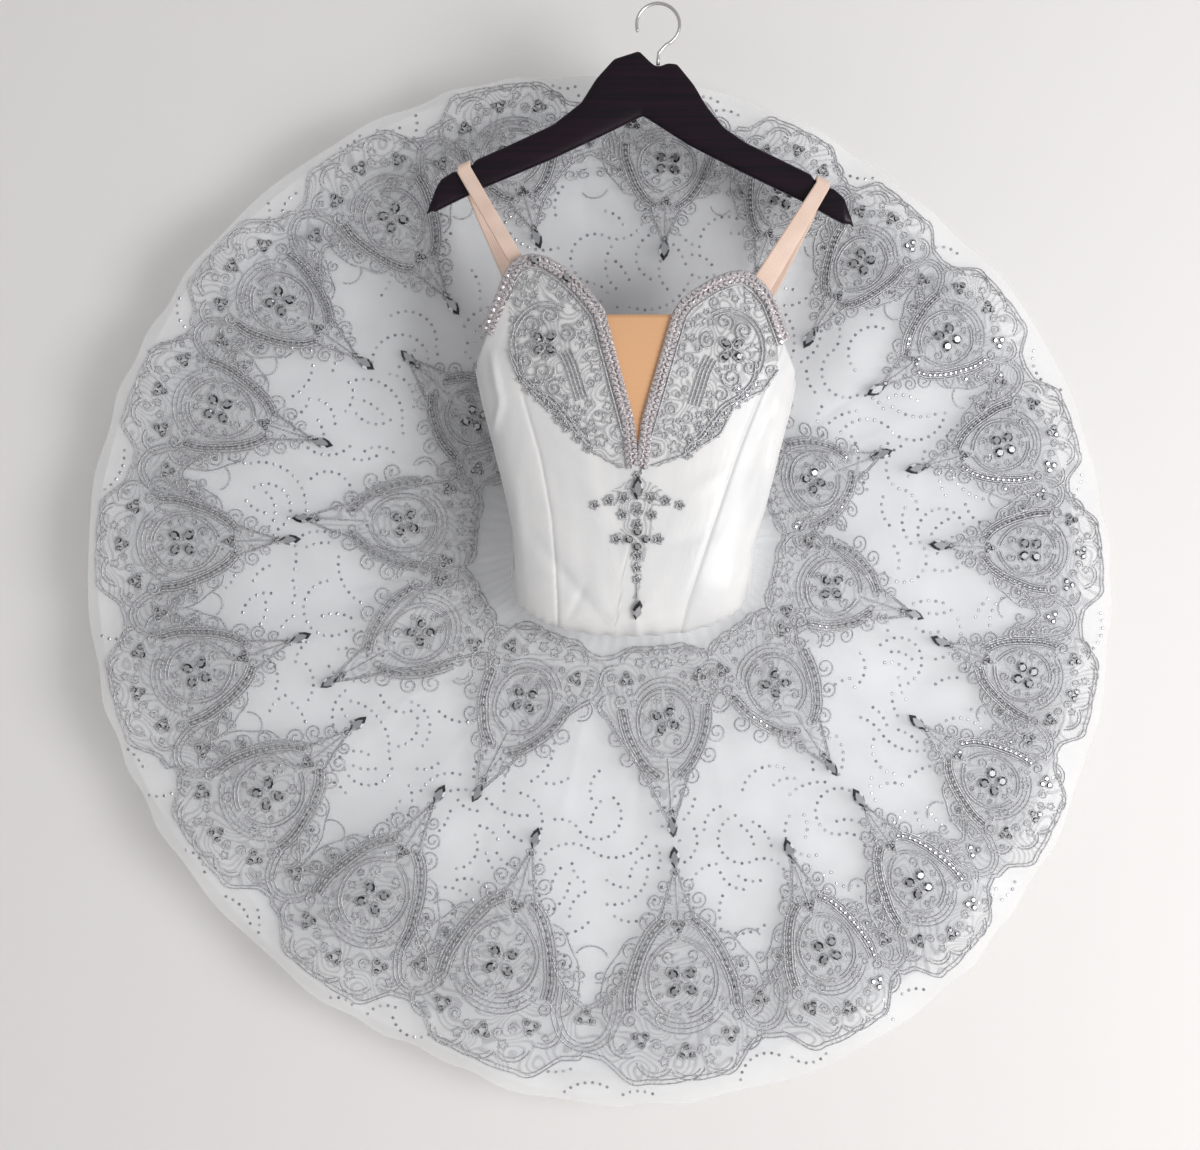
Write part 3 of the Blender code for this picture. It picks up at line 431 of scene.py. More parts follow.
# silver embroidery on the bodice: winding rows of lurex stitches, the satin showing between them
bodiceGround, tree, shader = newMaterial("silverEmbroideryOnSatin", "D5D5D7", Roughness=0.45, Metallic=0.15)
embroider(tree, shader, addNode(tree, "ShaderNodeTexCoord").outputs["Object"], 48.0, 20.0,
          "E4E3E4", "B2B2B5", (0.34, 0.02))

# braid under the neckline's stones: close satin stitch in pinkish silver
braid, tree, shader = newMaterial("pinkishSilverBraid", "CFC8CA", Roughness=0.4, Metallic=0.25)
embroider(tree, shader, addNode(tree, "ShaderNodeUVMap", uv_map="cloth").outputs[0], 160.0, 20.0, "E6DEE0",
          "A59DA0", None)

def cutGlass(name, colour, metallic, dark, light):
    material, tree, shader = newMaterial(name, colour, Roughness=0.20, Metallic=metallic, Coat_Weight=0.5,
                                         Coat_Roughness=0.12)
    # each facet's tone, from the dark to the light colour, is a painted reflection
    facet = addNode(tree, "ShaderNodeAttribute", attribute_name="paintedFacetReflection")
    reflectionTones = addNode(tree, "ShaderNodeValToRGB", {0: facet.outputs["Fac"]},
                    stops=((0.0, hexColour(dark)), (1.0, hexColour(light))))
    tree.links.new(reflectionTones.outputs[0], shader.inputs["Base Color"])
    return material


# foiled glass stones: sharp facets, each painted another tone from dark to bright as painted reflection of
# the room in cut glass
crystal = cutGlass("foiledCutGlass", "C4C6CC", 0.7, "2C2D31", "F4F5F8")
# clear rhinestones of the neckline: glass on pale foil with a pinkish cast, its facets painted in paler and
# brighter tones as painted reflection
rhinestone = cutGlass("clearRhinestone", "E2DADC", 0.45, "8C8587", "FFFAFB")

# silver sequin: pressed foil film, bright, each sequin painted a random lighter or darker grey as painted
# glints
sequinFoil, tree, shader = newMaterial("silverSequinFilm", "ABACB0", Roughness=0.25, Metallic=0.65)
place = addNode(tree, "ShaderNodeTexCoord")
patches = addNode(tree, "ShaderNodeTexNoise",
                  {"Vector": place.outputs["Object"], "Scale": 180.0, "Detail": 0.0})
paintedGlints = addNode(tree, "ShaderNodeValToRGB", {0: patches.outputs[0]},
                 stops=((0.35, hexColour("93949A")), (0.65, hexColour("C9CACE"))))
tree.links.new(paintedGlints.outputs[0], shader.inputs["Base Color"])

# nude elastic: woven lengthwise ribs 1 mm apart, matt
elastic, tree, shader = newMaterial("ribbedNudeElastic", "E9D3C5", Roughness=0.65, Sheen_Weight=0.3)
cloth = addNode(tree, "ShaderNodeUVMap", uv_map="cloth")
ribs = addNode(tree, "ShaderNodeTexWave", {"Vector": cloth.outputs[0], "Scale": 160.0, "Distortion": 0.4})
rib = addNode(tree, "ShaderNodeBump", {"Height": ribs.outputs["Fac"], "Strength": 0.25, "Distance": 0.0005})
tree.links.new(rib.outputs[0], shader.inputs["Normal"])
warm = addNode(tree, "ShaderNodeTexNoise", {"Vector": cloth.outputs[0], "Scale": 40.0})
tint = addNode(tree, "ShaderNodeValToRGB", {0: warm.outputs[0]},
               stops=((0.3, hexColour("DDBFAE")), (0.7, hexColour("E8CFC0"))))
tree.links.new(tint.outputs[0], shader.inputs["Base Color"])

# white cotton jersey of the knickers: matt, fine ribs 1.4 mm apart
jersey, tree, shader = newMaterial("whiteCottonJersey", "E9E9E8", Roughness=0.85, Sheen_Weight=0.2)
place = addNode(tree, "ShaderNodeTexCoord")
ribs = addNode(tree, "ShaderNodeTexNoise", {"Vector": place.outputs["Object"], "Scale": 420.0, "Detail": 2.0})
knit = addNode(tree, "ShaderNodeBump", {"Height": ribs.outputs[0], "Strength": 0.3, "Distance": 0.0006})
tree.links.new(knit.outputs[0], shader.inputs["Normal"])

# beech stained near black and lacquered: glossy coat, plum red where the stain is thin
lacquer, tree, shader = newMaterial("blackLacqueredBeech", "17101C", Roughness=0.45, Coat_Weight=0.18,
                                    Coat_Roughness=0.2, Specular_IOR_Level=0.12)
place = addNode(tree, "ShaderNodeTexCoord")
along = addNode(tree, "ShaderNodeMapping", {"Vector": place.outputs["Object"], "Scale": (6.0, 60.0, 260.0)})
grain = addNode(tree, "ShaderNodeTexNoise", {"Vector": along.outputs[0], "Scale": 1.0, "Detail": 4.0})
stain = addNode(tree, "ShaderNodeValToRGB", {0: grain.outputs[0]},
                stops=((0.35, hexColour("0A060D")), (0.75, hexColour("1F0B1A"))))
tree.links.new(stain.outputs[0], shader.inputs["Base Color"])
pores = addNode(tree, "ShaderNodeBump", {"Height": grain.outputs[0], "Strength": 0.08, "Distance": 0.0004})
tree.links.new(pores.outputs[0], shader.inputs["Normal"])

# nickel-plated steel wire: bright, faint drawing marks
nickel, tree, shader = newMaterial("nickelPlatedSteel", "C9C8C5", Roughness=0.22, Metallic=1.0)
place = addNode(tree, "ShaderNodeTexCoord")
marks = addNode(tree, "ShaderNodeTexNoise", {"Vector": place.outputs["Object"], "Scale": 300.0})
rough = addNode(tree, "ShaderNodeMapRange", {"Value": marks.outputs[0], "To Min": 0.15, "To Max": 0.32})
tree.links.new(rough.outputs[0], shader.inputs["Roughness"])

# Plate of net

plate = {
    "hipCentre": Vector((-0.0233, 0.0, -0.51865)),
    "hipHalf": (0.1196, 0.07765),
    "hipPower": 2.3,
    "hipY": 0.0617,
    "rimY": 0.0850,
    "rimCentre": Vector((-0.0560, 0.0, -0.5648)),
    # degrees from the bottom towards the right, rim radius
    "rim": (
        (0.0, 0.516), (11.0, 0.519), (28.0, 0.527), (43.0, 0.528), (60.0, 0.520), (78.0, 0.512),
        (104.0, 0.509), (121.0, 0.511), (140.0, 0.501), (162.0, 0.511), (180.0, 0.512), (196.0, 0.520),
        (228.0, 0.520), (257.0, 0.518), (282.0, 0.507), (307.0, 0.497), (323.0, 0.495), (341.0, 0.493),
        (353.0, 0.511), (360.0, 0.516),
    ),
    # folds of all layers: degrees, from and to as shares of the way out, half width in degrees, lift
    "folds": (
        (284.0, 0.05, 0.50, 4.0, 0.007), (98.0, 0.04, 0.35, 4.0, -0.005), (69.0, 0.20, 0.85, 4.5, -0.005),
        (134.0, 0.30, 0.85, 5.5, 0.009), (312.0, 0.40, 1.10, 5.0, -0.004), (200.0, 0.50, 1.10, 6.0, -0.004),
    ),
    # creases of the overlay alone
    "creases": (
        (277.5, 0.06, 0.44, 1.1, 0.0030), (291.0, 0.02, 0.30, 1.3, -0.0022),
        (262.0, 0.10, 0.72, 1.4, 0.0016), (247.0, 0.05, 0.38, 1.2, -0.0018),
        (232.0, 0.20, 0.80, 1.6, 0.0018), (214.0, 0.30, 0.95, 1.5, -0.0016),
        (184.0, 0.55, 1.02, 0.5, -0.0022), (166.0, 0.40, 0.92, 1.4, 0.0018),
        (150.0, 0.30, 0.75, 1.2, -0.0020), (128.0, 0.28, 0.80, 0.9, -0.0032),
        (118.0, 0.10, 0.60, 1.3, 0.0020), (104.0, 0.03, 0.28, 0.9, 0.0026),
        (92.0, 0.02, 0.30, 1.0, -0.0030), (86.0, 0.10, 0.46, 1.2, 0.0014),
        (74.5, 0.18, 0.90, 1.2, 0.0024), (61.0, 0.05, 0.55, 1.4, -0.0016),
        (52.0, 0.30, 0.98, 1.5, 0.0014), (36.0, 0.04, 0.40, 1.3, -0.0016),
        (21.0, 0.05, 0.66, 1.5, 0.0013), (3.0, 0.02, 0.50, 1.2, -0.0014),
        (349.0, 0.06, 0.58, 1.3, 0.0015), (336.0, 0.20, 0.85, 1.6, -0.0013),
        (322.0, 0.04, 0.42, 1.2, 0.0018), (306.0, 0.10, 0.62, 1.4, 0.0020),
    ),
    "broadWave": 0.0030,
    "rimWave": 0.0042,
    "gather": 0.0007,
    "columns": 480,
    "rows": 46,
}

# degrees, share of the tip, share of the base
outerMotifs = (
    (10.0, 0.50, 0.955), (30.0, 0.55, 0.960), (45.0, 0.55, 0.970), (62.0, 0.56, 0.980),
    (77.0, 0.55, 0.975), (94.0, 0.53, 0.975), (109.0, 0.51, 0.970), (126.0, 0.52, 0.970),
    (142.0, 0.50, 0.970), (156.0, 0.56, 0.980), (172.0, 0.57, 0.965), (192.0, 0.60, 0.985),
    (210.0, 0.51, 0.970), (229.0, 0.53, 0.980), (246.0, 0.51, 0.970), (265.0, 0.53, 0.975),
    (283.0, 0.53, 0.975), (303.0, 0.50, 0.955), (324.5, 0.49, 0.965), (345.0, 0.49, 0.965),
)
# degrees, share of the base, share of the tip
innerMotifs = (
    (10.0, 0.05, 0.43), (44.0, 0.06, 0.45), (80.0, 0.06, 0.46), (114.0, 0.06, 0.43), (148.0, 0.06, 0.43),
    (188.0, 0.06, 0.43), (223.0, 0.08, 0.46), (261.0, 0.08, 0.50), (293.0, 0.09, 0.50), (331.0, 0.05, 0.44),
)


def hipPoint(turn, spread, y):
    power = 2 / plate["hipPower"]
    across, up = plate["hipHalf"]
    return Vector((
        plate["hipCentre"].x + (across + spread) * signedPower(math.sin(turn), power),
        y,
        plate["hipCentre"].z - (up + spread) * signedPower(math.cos(turn), power),
    ))


def platePoint(angle, share, rimShare=1.0):
    turn = math.radians(angle)
    hip = hipPoint(turn, 0.0005, 0.0)
    radius = readTable(plate["rim"], angle % 360.0) * rimShare
    rim = plate["rimCentre"] + Vector((radius * math.sin(turn), 0.0, -radius * math.cos(turn)))
    return hip + (rim - hip) * share


def foldDepth(rows, angle, share):
    depth = 0.0
    for middle, start, end, spread, lift in rows:
        away = turnBetween(angle, middle)
        if start < share < end and abs(away) < 3 * spread:
            depth -= lift * math.sin(math.pi * (share - start) / (end - start)) * swell(away, spread)
    return depth


def plateDepth(angle, share):
    turn = math.radians(angle)
    wave = plate["broadWave"] * share ** 1.5 * math.sin(7 * turn + 0.8)
    slope = plate["hipY"] + (plate["rimY"] - plate["hipY"]) * share
    return slope + wave + foldDepth(plate["folds"], angle, share)


def motifWave(angle):
    # 1 at a motif's middle, -1 between two
    for index, motif in enumerate(outerMotifs):
        gap = (outerMotifs[(index + 1) % len(outerMotifs)][0] - motif[0]) % 360.0
        past = (angle - motif[0]) % 360.0
        if past < gap:
            return math.cos(2 * math.pi * past / gap)
    return 1.0


def overlayDepth(angle, share):
    turn = math.radians(angle)
    gathers = plate["gather"] * math.exp(-share / 0.10) * math.sin(71 * turn + 3 * math.sin(5 * turn))
    rimSwing = plate["rimWave"] * share ** 1.5 * motifWave(angle)
    return plateDepth(angle, share) - rimSwing + gathers + foldDepth(plate["creases"], angle, share)


def plateUv(columns, rows):
    return lambda row, column: (column / columns * 2.4, row / rows * 0.4)


def makeOverlay():
    columns, rows = plate["columns"], plate["rows"]
    grid = []
    for row in range(rows + 1):
        share = row / rows
        line = []
        for column in range(columns):
            angle = 360.0 * column / columns
            ragged = 1 + share ** 8 * 0.004 * math.sin(angle * 0.61 + 2 * math.sin(angle * 0.13))
            point = platePoint(angle, share * ragged)
            point.y = overlayDepth(angle, share)
            line.append(point)
        grid.append(line)
    obj = gridMesh("glitter_overlay", grid, tulle("whiteGlitterTulle", "F1F2F4", 0.34),
                   around=True, flip=True, uvs=plateUv(columns, rows))
    finishPiece(obj, "white_net", "overlay")
    return obj


overlay = makeOverlay()

# piece, node, rim share, step behind the overlay at hip and rim, phase, cover
netLayers = (
    ("stiff_net_one", "net_one", 0.985, 0.0090, 0.0090, 0.3, 0.42),
    ("stiff_net_two", "net_two", 0.945, 0.0180, 0.0178, 1.9, 1.0),
    ("stiff_net_three", "net_three", 0.890, 0.0270, 0.0264, 3.4, 1.0),
    ("stiff_net_four", "net_four", 0.820, 0.0360, 0.0350, 5.2, 1.0),
)


def makeNets():
    columns, rows = 240, 22
    for name, node, rimShare, hipStep, rimStep, phase, cover in netLayers:
        grid = []
        for row in range(rows + 1):
            share = row / rows
            line = []
            for column in range(columns):
                angle = 360.0 * column / columns
                turn = math.radians(angle)
                point = platePoint(angle, share, rimShare)
                reach = share * rimShare
                own = 0.0024 * reach ** 1.5 * math.sin(12 * turn + phase)
                frill = 0.0011 * reach ** 2 * math.sin(38 * turn + 2 * math.sin(3 * turn + phase))
                point.y = plateDepth(angle, reach) + hipStep + (rimStep - hipStep) * reach + own + frill
                line.append(point)
            grid.append(line)
        obj = gridMesh(name, grid, tulle(name + "_tulle", "F2F3F5", cover), around=True, flip=True,
                       uvs=plateUv(columns, rows))
        finishPiece(obj, "white_net", node)
        reach = 1.03 * rimShare
    print("overlay and four nets made")


makeNets()

# Bodice

bodice = {
    # front y, front z, back y, back z, middle x, half width, from the hip up to the top
    "sections": (
        (0.058, -0.5963, 0.058, -0.4410, -0.0233, 0.1196),
        (0.030, -0.6065, 0.0505, -0.4700, -0.0245, 0.1180),
        (0.002, -0.6087, 0.0490, -0.5034, -0.0257, 0.1150),
        (-0.026, -0.6023, 0.046, -0.5154, -0.0259, 0.1130),
        (-0.043, -0.5801, 0.040, -0.5037, -0.0241, 0.1137),
        (-0.049, -0.5451, 0.037, -0.4812, -0.0223, 0.1164),
        (-0.051, -0.4979, 0.037, -0.4518, -0.0204, 0.1260),
        (-0.053, -0.4414, 0.037, -0.4175, -0.0204, 0.1375),
        (-0.058, -0.3852, 0.038, -0.3763, -0.0204, 0.1498),
        (-0.060, -0.3384, 0.040, -0.3290, -0.0214, 0.1575),
        (-0.055, -0.2908, 0.042, -0.2797, -0.0213, 0.1616),
        (-0.048, -0.2428, 0.044, -0.2304, -0.0213, 0.1638),
    ),
    "power": 2.3,
    "seamLevel": 2.0,
    "bustLevel": 5.2,
    "topLevel": 11.0,
    "sideSeam": math.radians(80.0),
    # level, left and right princess seam as shares of the half width
    "princess": (
        (2.0, -0.61, 0.41), (4.0, -0.64, 0.45), (5.0, -0.66, 0.52), (6.0, -0.65, 0.59), (7.0, -0.67, 0.68),
        (8.0, -0.72, 0.77), (9.0, -0.72, 0.87), (11.0, -0.71, 0.90),
    ),
    # x, z
    "neckline": (
        (-0.1760, -0.3520), (-0.1626, -0.3186), (-0.1503, -0.2903), (-0.1400, -0.2640), (-0.1340, -0.2560),
        (-0.1220, -0.2516), (-0.1079, -0.2544), (-0.0918, -0.2648), (-0.0748, -0.2808), (-0.0640, -0.2935),
        (-0.0567, -0.3044), (-0.0480, -0.3378), (-0.0390, -0.3712), (-0.0300, -0.4046), (-0.0210, -0.4380),
        (-0.0112, -0.4046), (-0.0015, -0.3712), (0.0082, -0.3378), (0.0180, -0.3044), (0.0255, -0.2935),
        (0.0356, -0.2860), (0.0526, -0.2752), (0.0680, -0.2690), (0.0809, -0.2676), (0.0930, -0.2760),
        (0.1045, -0.2903), (0.1186, -0.3280), (0.1350, -0.3630),
    ),
    "backNeckZ": -0.372,
    "vPoint": (-0.0210, -0.4380),
    "insertTop": -0.3044,
    "thick": 0.0012,
    "seamDepth": 0.0011,
    "seamWidth": 0.0016,
    "panels": ((0, 34), (1, 22), (2, 70), (3, 22), (4, 34)),  # panel, cells across
    "rows": 84,
    # creases: x, z to x, z seen from the front, half width, lift, on the front alone
    "creases": (
        (-0.158, -0.345, -0.150, -0.385, 0.004, 0.0030), (-0.150, -0.385, -0.157, -0.412, 0.003, 0.0022),
        (-0.115, -0.520, -0.060, -0.585, 0.006, -0.0018), (-0.136, -0.470, -0.128, -0.560, 0.007, 0.0016),
        (-0.050, -0.596, -0.010, -0.575, 0.005, 0.0012), (-0.085, -0.590, -0.070, -0.560, 0.004, -0.0011),
        (0.020, -0.600, 0.034, -0.560, 0.005, -0.0012), (0.060, -0.585, 0.070, -0.545, 0.005, 0.0012),
        (0.095, -0.420, 0.118, -0.385, 0.005, 0.0018), (0.085, -0.470, 0.106, -0.430, 0.006, -0.0014),
        (-0.100, -0.430, -0.060, -0.455, 0.007, -0.0010), (0.030, -0.470, 0.062, -0.455, 0.006, 0.0010),
        (-0.110, -0.480, -0.050, -0.500, 0.008, 0.0012), (0.010, -0.520, 0.060, -0.505, 0.007, -0.0011),
        (0.108, -0.395, 0.100, -0.470, 0.004, -0.0016), (-0.020, -0.607, -0.022, -0.588, 0.004, 0.0014),
    ),
}


def bodicePoint(angle, level):
    frontY, frontZ, backY, backZ, middleX, half = smoothRow(bodice["sections"], level)
    side = signedPower(math.sin(angle), 2 / bodice["power"])
    forward = signedPower(math.cos(angle), 2 / bodice["power"])
    return Vector((
        middleX + half * side,
        (frontY + backY) / 2 + (frontY - backY) / 2 * forward,
        (frontZ + backZ) / 2 + (frontZ - backZ) / 2 * forward,
    ))


def bodiceNormal(angle, level):
    step = 1e-4
    run = bodicePoint(angle + step, level) - bodicePoint(angle - step, level)
    rise = bodicePoint(angle, level + step) - bodicePoint(angle, level - step)
    return run.cross(rise).normalized()


def shareToAngle(share):
    return math.asin(signedPower(share, bodice["power"] / 2))


def seamAngles(level):
    left = shareToAngle(readTable(bodice["princess"], level, 1))
    right = shareToAngle(readTable(bodice["princess"], level, 2))
    side = bodice["sideSeam"]
    return (-math.pi, -side, left, right, side, math.pi)


def levelAt(angleAt, heightAt, low, high):
    for _ in range(30):
        middle = (low + high) / 2
        if bodicePoint(angleAt(middle), middle).z < heightAt(middle):
            low = middle
        else:
            high = middle
    return (low + high) / 2


def neckHeight(angle, level):
    beyond = abs(angle) - bodice["sideSeam"]
    if beyond <= 0.01:
        return readTable(bodice["neckline"], bodicePoint(angle, level).x)
    underarm = bodice["neckline"][0][1] if angle < 0 else bodice["neckline"][-1][1]
    return underarm + (bodice["backNeckZ"] - underarm) * beyond / (math.pi - bodice["sideSeam"])


def creaseLift(rows, x, z):
    lift = 0.0
    for x0, z0, x1, z1, spread, height in rows:
        run = Vector((x1 - x0, z1 - z0))
        reach = Vector((x - x0, z - z0))
        way = reach.dot(run) / run.length_squared
        if -0.25 < way < 1.25:
            off = abs(reach.cross(run)) / run.length
            fade = max(0.0, math.sin(math.pi * (way + 0.25) / 1.5))
            lift += height * fade * swell(off, spread)
    return lift


def edgeShares(count):
    # shares across a panel, close together beside its two seams
    fine = (0.0, 0.012, 0.03, 0.06)
    middle = [0.06 + 0.88 * step / count for step in range(1, count)]
    return list(fine) + middle + [1 - share for share in reversed(fine)]


def makeBodice():
    columns = [(panel, share) for panel, count in bodice["panels"] for share in edgeShares(count)
               if share != 1.0]
    rows = bodice["rows"]
    grid = [[] for _ in range(rows + 1)]
    for panel, share in columns:
        def angleAt(level, panel=panel, share=share):
            seams = seamAngles(level)
            return seams[panel] + (seams[panel + 1] - seams[panel]) * share
        top = levelAt(angleAt, lambda level: neckHeight(angleAt(level), level),
                      bodice["bustLevel"], bodice["topLevel"])
        for row in range(rows + 1):
            level = bodice["seamLevel"] + (top - bodice["seamLevel"]) * row / rows
            angle = angleAt(level)
            point = bodicePoint(angle, level)
            seams = seamAngles(level)
            width = (point - bodicePoint(seams[panel + 1] if share > 0.5 else seams[panel], level)).length
            groove = -bodice["seamDepth"] * swell(width, bodice["seamWidth"])
            pucker = 0.00022 * math.sin(level * 42 + panel) * swell(width, 0.006)
            lift = creaseLift(bodice["creases"], point.x, point.z) if point.y < 0.0 else 0.0
            hem = 0.0009 * math.sin(angle * 33 + 2 * math.sin(angle * 7)) * swell(level - 2.2, 0.7)
            grid[row].append(point + bodiceNormal(angle, level) * (groove + pucker + lift + hem))
    count = len(columns)
    obj = gridMesh("satin_bodice", grid, satin, around=True, thick=bodice["thick"],
                   uvs=lambda row, column: (column / count * 0.78, row / rows * 0.30))
    finishPiece(obj, "white_satin", "bodice_centre_front", "bodice_side_front_left",
                "bodice_side_front_right", "bodice_back_left", "bodice_back_right")
    return obj


satinBodice = makeBodice()


def makeBasque():
    rows, columns = 14, 220
    grid = []
    for row in range(rows + 1):
        level = bodice["seamLevel"] * row / rows
        line = []
        for column in range(columns):
            angle = -math.pi + 2 * math.pi * column / columns
            point = bodicePoint(angle, level)
            tuck = 0.0011 * math.sin(angle * 33 + 2 * math.sin(angle * 7)) * swell(level - 1.7, 0.8)
            line.append(point + bodiceNormal(angle, max(level, 0.05)) * tuck)
        grid.append(line)
    obj = gridMesh("satin_basque", grid, satin, around=True, thick=bodice["thick"],
                   uvs=lambda row, column: (column / columns * 0.66, row / rows * 0.05))
    finishPiece(obj, "white_satin", "basque_front", "basque_back")
    print("bodice and basque made")


makeBasque()


def frontPoint(x, z, rise):
    def angleAt(level):
        row = smoothRow(bodice["sections"], level)
        return shareToAngle(max(-0.995, min(0.995, (x - row[4]) / row[5])))
    level = levelAt(angleAt, lambda _: z, bodice["seamLevel"], bodice["topLevel"])
    angle = angleAt(level)
    return bodicePoint(angle, level) + bodiceNormal(angle, level) * rise


def makeInsert():
    left = sorted((z, x) for x, z in bodice["neckline"] if -0.060 <= x <= -0.021)
    right = sorted((z, x) for x, z in bodice["neckline"] if -0.021 <= x <= 0.0185)
    rows, columns = 30, 16
    low, high = bodice["vPoint"][1] + 0.003, bodice["insertTop"]
    grid = []
    for row in range(rows + 1):
        z = low + (high - low) * row / rows
        start, end = readTable(left, z) - 0.001, readTable(right, z) + 0.001
        grid.append([frontPoint(start + (end - start) * c / columns, z, -0.0006) for c in range(columns + 1)])
    obj = gridMesh("nude_plunge_insert", grid, nudeMesh, thick=0.0008,
                   uvs=lambda row, column: (column / columns * 0.07, row / rows * 0.13))
    finishPiece(obj, "nude_mesh", "plunge_insert")


makeInsert()
print("plunge insert made")

# Stones


def makeStone(name, outline, girdle, table):
    # cut stone of unit width, its crown to +Z: a flat table, a crown and a low wall on a flat back, each
    # facet with a painted reflection tone
    count = len(outline)
    rings = [(1.0, -girdle * 0.6), (1.0, 0.0), (0.62, table)]
    points = [(x * size, y * size, z) for size, z in rings for x, y in outline]
    faces = [list(reversed(range(count)))]
    # painted reflection: back 0.1, wall 0.3, table 0.42, and each crown facet a random tone from dark to
    # bright, for the room mirrored in cut glass
    reflectionTones = [0.1]
    rng = random.Random(7)
    for ring in range(2):
        for side in range(count):
            after = (side + 1) % count
            faces.append([ring * count + side, ring * count + after,
                          (ring + 1) * count + after, (ring + 1) * count + side])
            reflectionTones.append(rng.choice((0.0, 0.2, 0.5, 1.0)) if ring else 0.3)
    faces.append([2 * count + side for side in range(count)])
    reflectionTones.append(0.42)
    mesh = bpy.data.meshes.new(name)
    mesh.from_pydata(points, [], faces)
    mesh.attributes.new("paintedFacetReflection", "FLOAT", "FACE").data.foreach_set("value", reflectionTones)
    return addObject(name, mesh)


def ellipse(count, across, along):
    return [(across * math.cos(2 * math.pi * i / count), along * math.sin(2 * math.pi * i / count))
            for i in range(count)]


roundStone = makeStone("roundStone", ellipse(8, 0.5, 0.5), 0.2, 0.26)
navette = makeStone("navette", [(0.0, -1.0), (0.34, -0.5), (0.48, 0.0), (0.34, 0.5), (0.0, 1.0), (-0.34, 0.5),
                                (-0.48, 0.0), (-0.34, -0.5)], 0.2, 0.30)
sequin = makeStone("sequin", ellipse(6, 0.5, 0.5), 0.05, 0.12)

# Lace designs, in millimetres: x across, y from the base edge to the tip

laceStep = 3.6


def arcLine(x, y, radius, start, end, squash=1.0):
    count = max(3, round(math.radians(abs(end - start)) * radius / laceStep))
    turns = [math.radians(start + (end - start) * step / count) for step in range(count + 1)]
    return [(x + radius * math.cos(turn), y + radius * squash * math.sin(turn)) for turn in turns]


def spiralLine(x, y, outer, start, turns, inner=0.22):
    # scroll that winds in; a negative number of turns winds the other way
    length = math.pi * outer * (1 + inner) * abs(turns)
    count = max(6, round(length / laceStep * 1.15))
    line = []
    for step in range(count + 1):
        way = step / count
        radius = outer * (1 - (1 - inner) * way)
        turn = math.radians(start) + 2 * math.pi * turns * way
        line.append((x + radius * math.cos(turn), y + radius * math.sin(turn)))
    return line


def smoothLine(corners):
    line = []
    for index in range(len(corners) - 1):
        a, b = corners[max(index - 1, 0)], corners[index]
        c, d = corners[index + 1], corners[min(index + 2, len(corners) - 1)]
        count = max(2, round(math.dist(b, c) / laceStep))
        line += [tuple(curvedRow(a, b, c, d, step / count)) for step in range(count)]
    return line + [corners[-1]]


def besideLine(line, offset):
    moved = []
    for index, place in enumerate(line):
        before, after = line[max(index - 1, 0)], line[min(index + 1, len(line) - 1)]
        run = Vector((after[0] - before[0], after[1] - before[1])).normalized()
        moved.append((place[0] - run.y * offset, place[1] + run.x * offset))
    return moved


def rosetteLine(x, y, radius, petals, turn=0.0):
    count = petals * 5
    line = []
    for step in range(count + 1):
        angle = 2 * math.pi * step / count
        size = radius * (0.76 + 0.24 * math.cos(petals * angle))
        line.append((x + size * math.cos(angle + turn), y + size * math.sin(angle + turn)))
    return line


def mirrorLine(line):
    return [(-x, y) for x, y in line]


class Design:
    # lines with half thickness and rise, stones with kind, size, turn and rise
    def __init__(self):
        self.lines = []
        self.stones = []

    def draw(self, line, half=0.75, rise=1.2, both=False):
        self.lines.append((line, half, rise))
        if both:
            self.lines.append((mirrorLine(line), half, rise))

    def sew(self, x, y, kind, size, turn=0.0, rise=2.2, both=False):
        self.stones.append((x, y, kind, size, turn, rise))
        if both:
            self.stones.append((-x, y, kind, size, -turn, rise))

    def flower(self, x, y, radius, stones, size, turn=0.4, both=False):
        self.draw(rosetteLine(x, y, radius, stones, turn), 0.8, 1.6, both)
        self.draw(rosetteLine(x, y, radius * 0.72, stones, turn), 0.6, 1.4, both)
        for step in range(stones):
            angle = turn + 2 * math.pi * step / stones
            self.sew(x + radius * 0.52 * math.cos(angle), y + radius * 0.52 * math.sin(angle), "round", size,
                     angle, 2.4, both)


def fillFree(design, box, inside, tries, seed, mirrored=True):
    # small rings and scrolls wherever the drawing leaves room
    rng = random.Random(seed)
    taken = [place for line, _, _ in design.lines for place in line]
    left, right, low, high = box
    for _ in range(tries):
        x, y = rng.uniform(left, right), rng.uniform(low, high)
        room = min(math.dist((x, y), place) for place in taken) - 1.8
        if mirrored:
            room = min(room, x - 1.0)
        room = min(room, 6.5)
        if room < 2.6 or not inside(x, y):
            continue
        if room > 4.2 and rng.random() < 0.6:
            line = spiralLine(x, y, room, rng.uniform(0, 360), rng.choice((-1.5, 1.5)))
        else:
            line = rosetteLine(x, y, room, rng.choice((4, 5)), rng.uniform(0, 1))
        design.draw(line, 0.7, 1.2, mirrored)
        taken += line


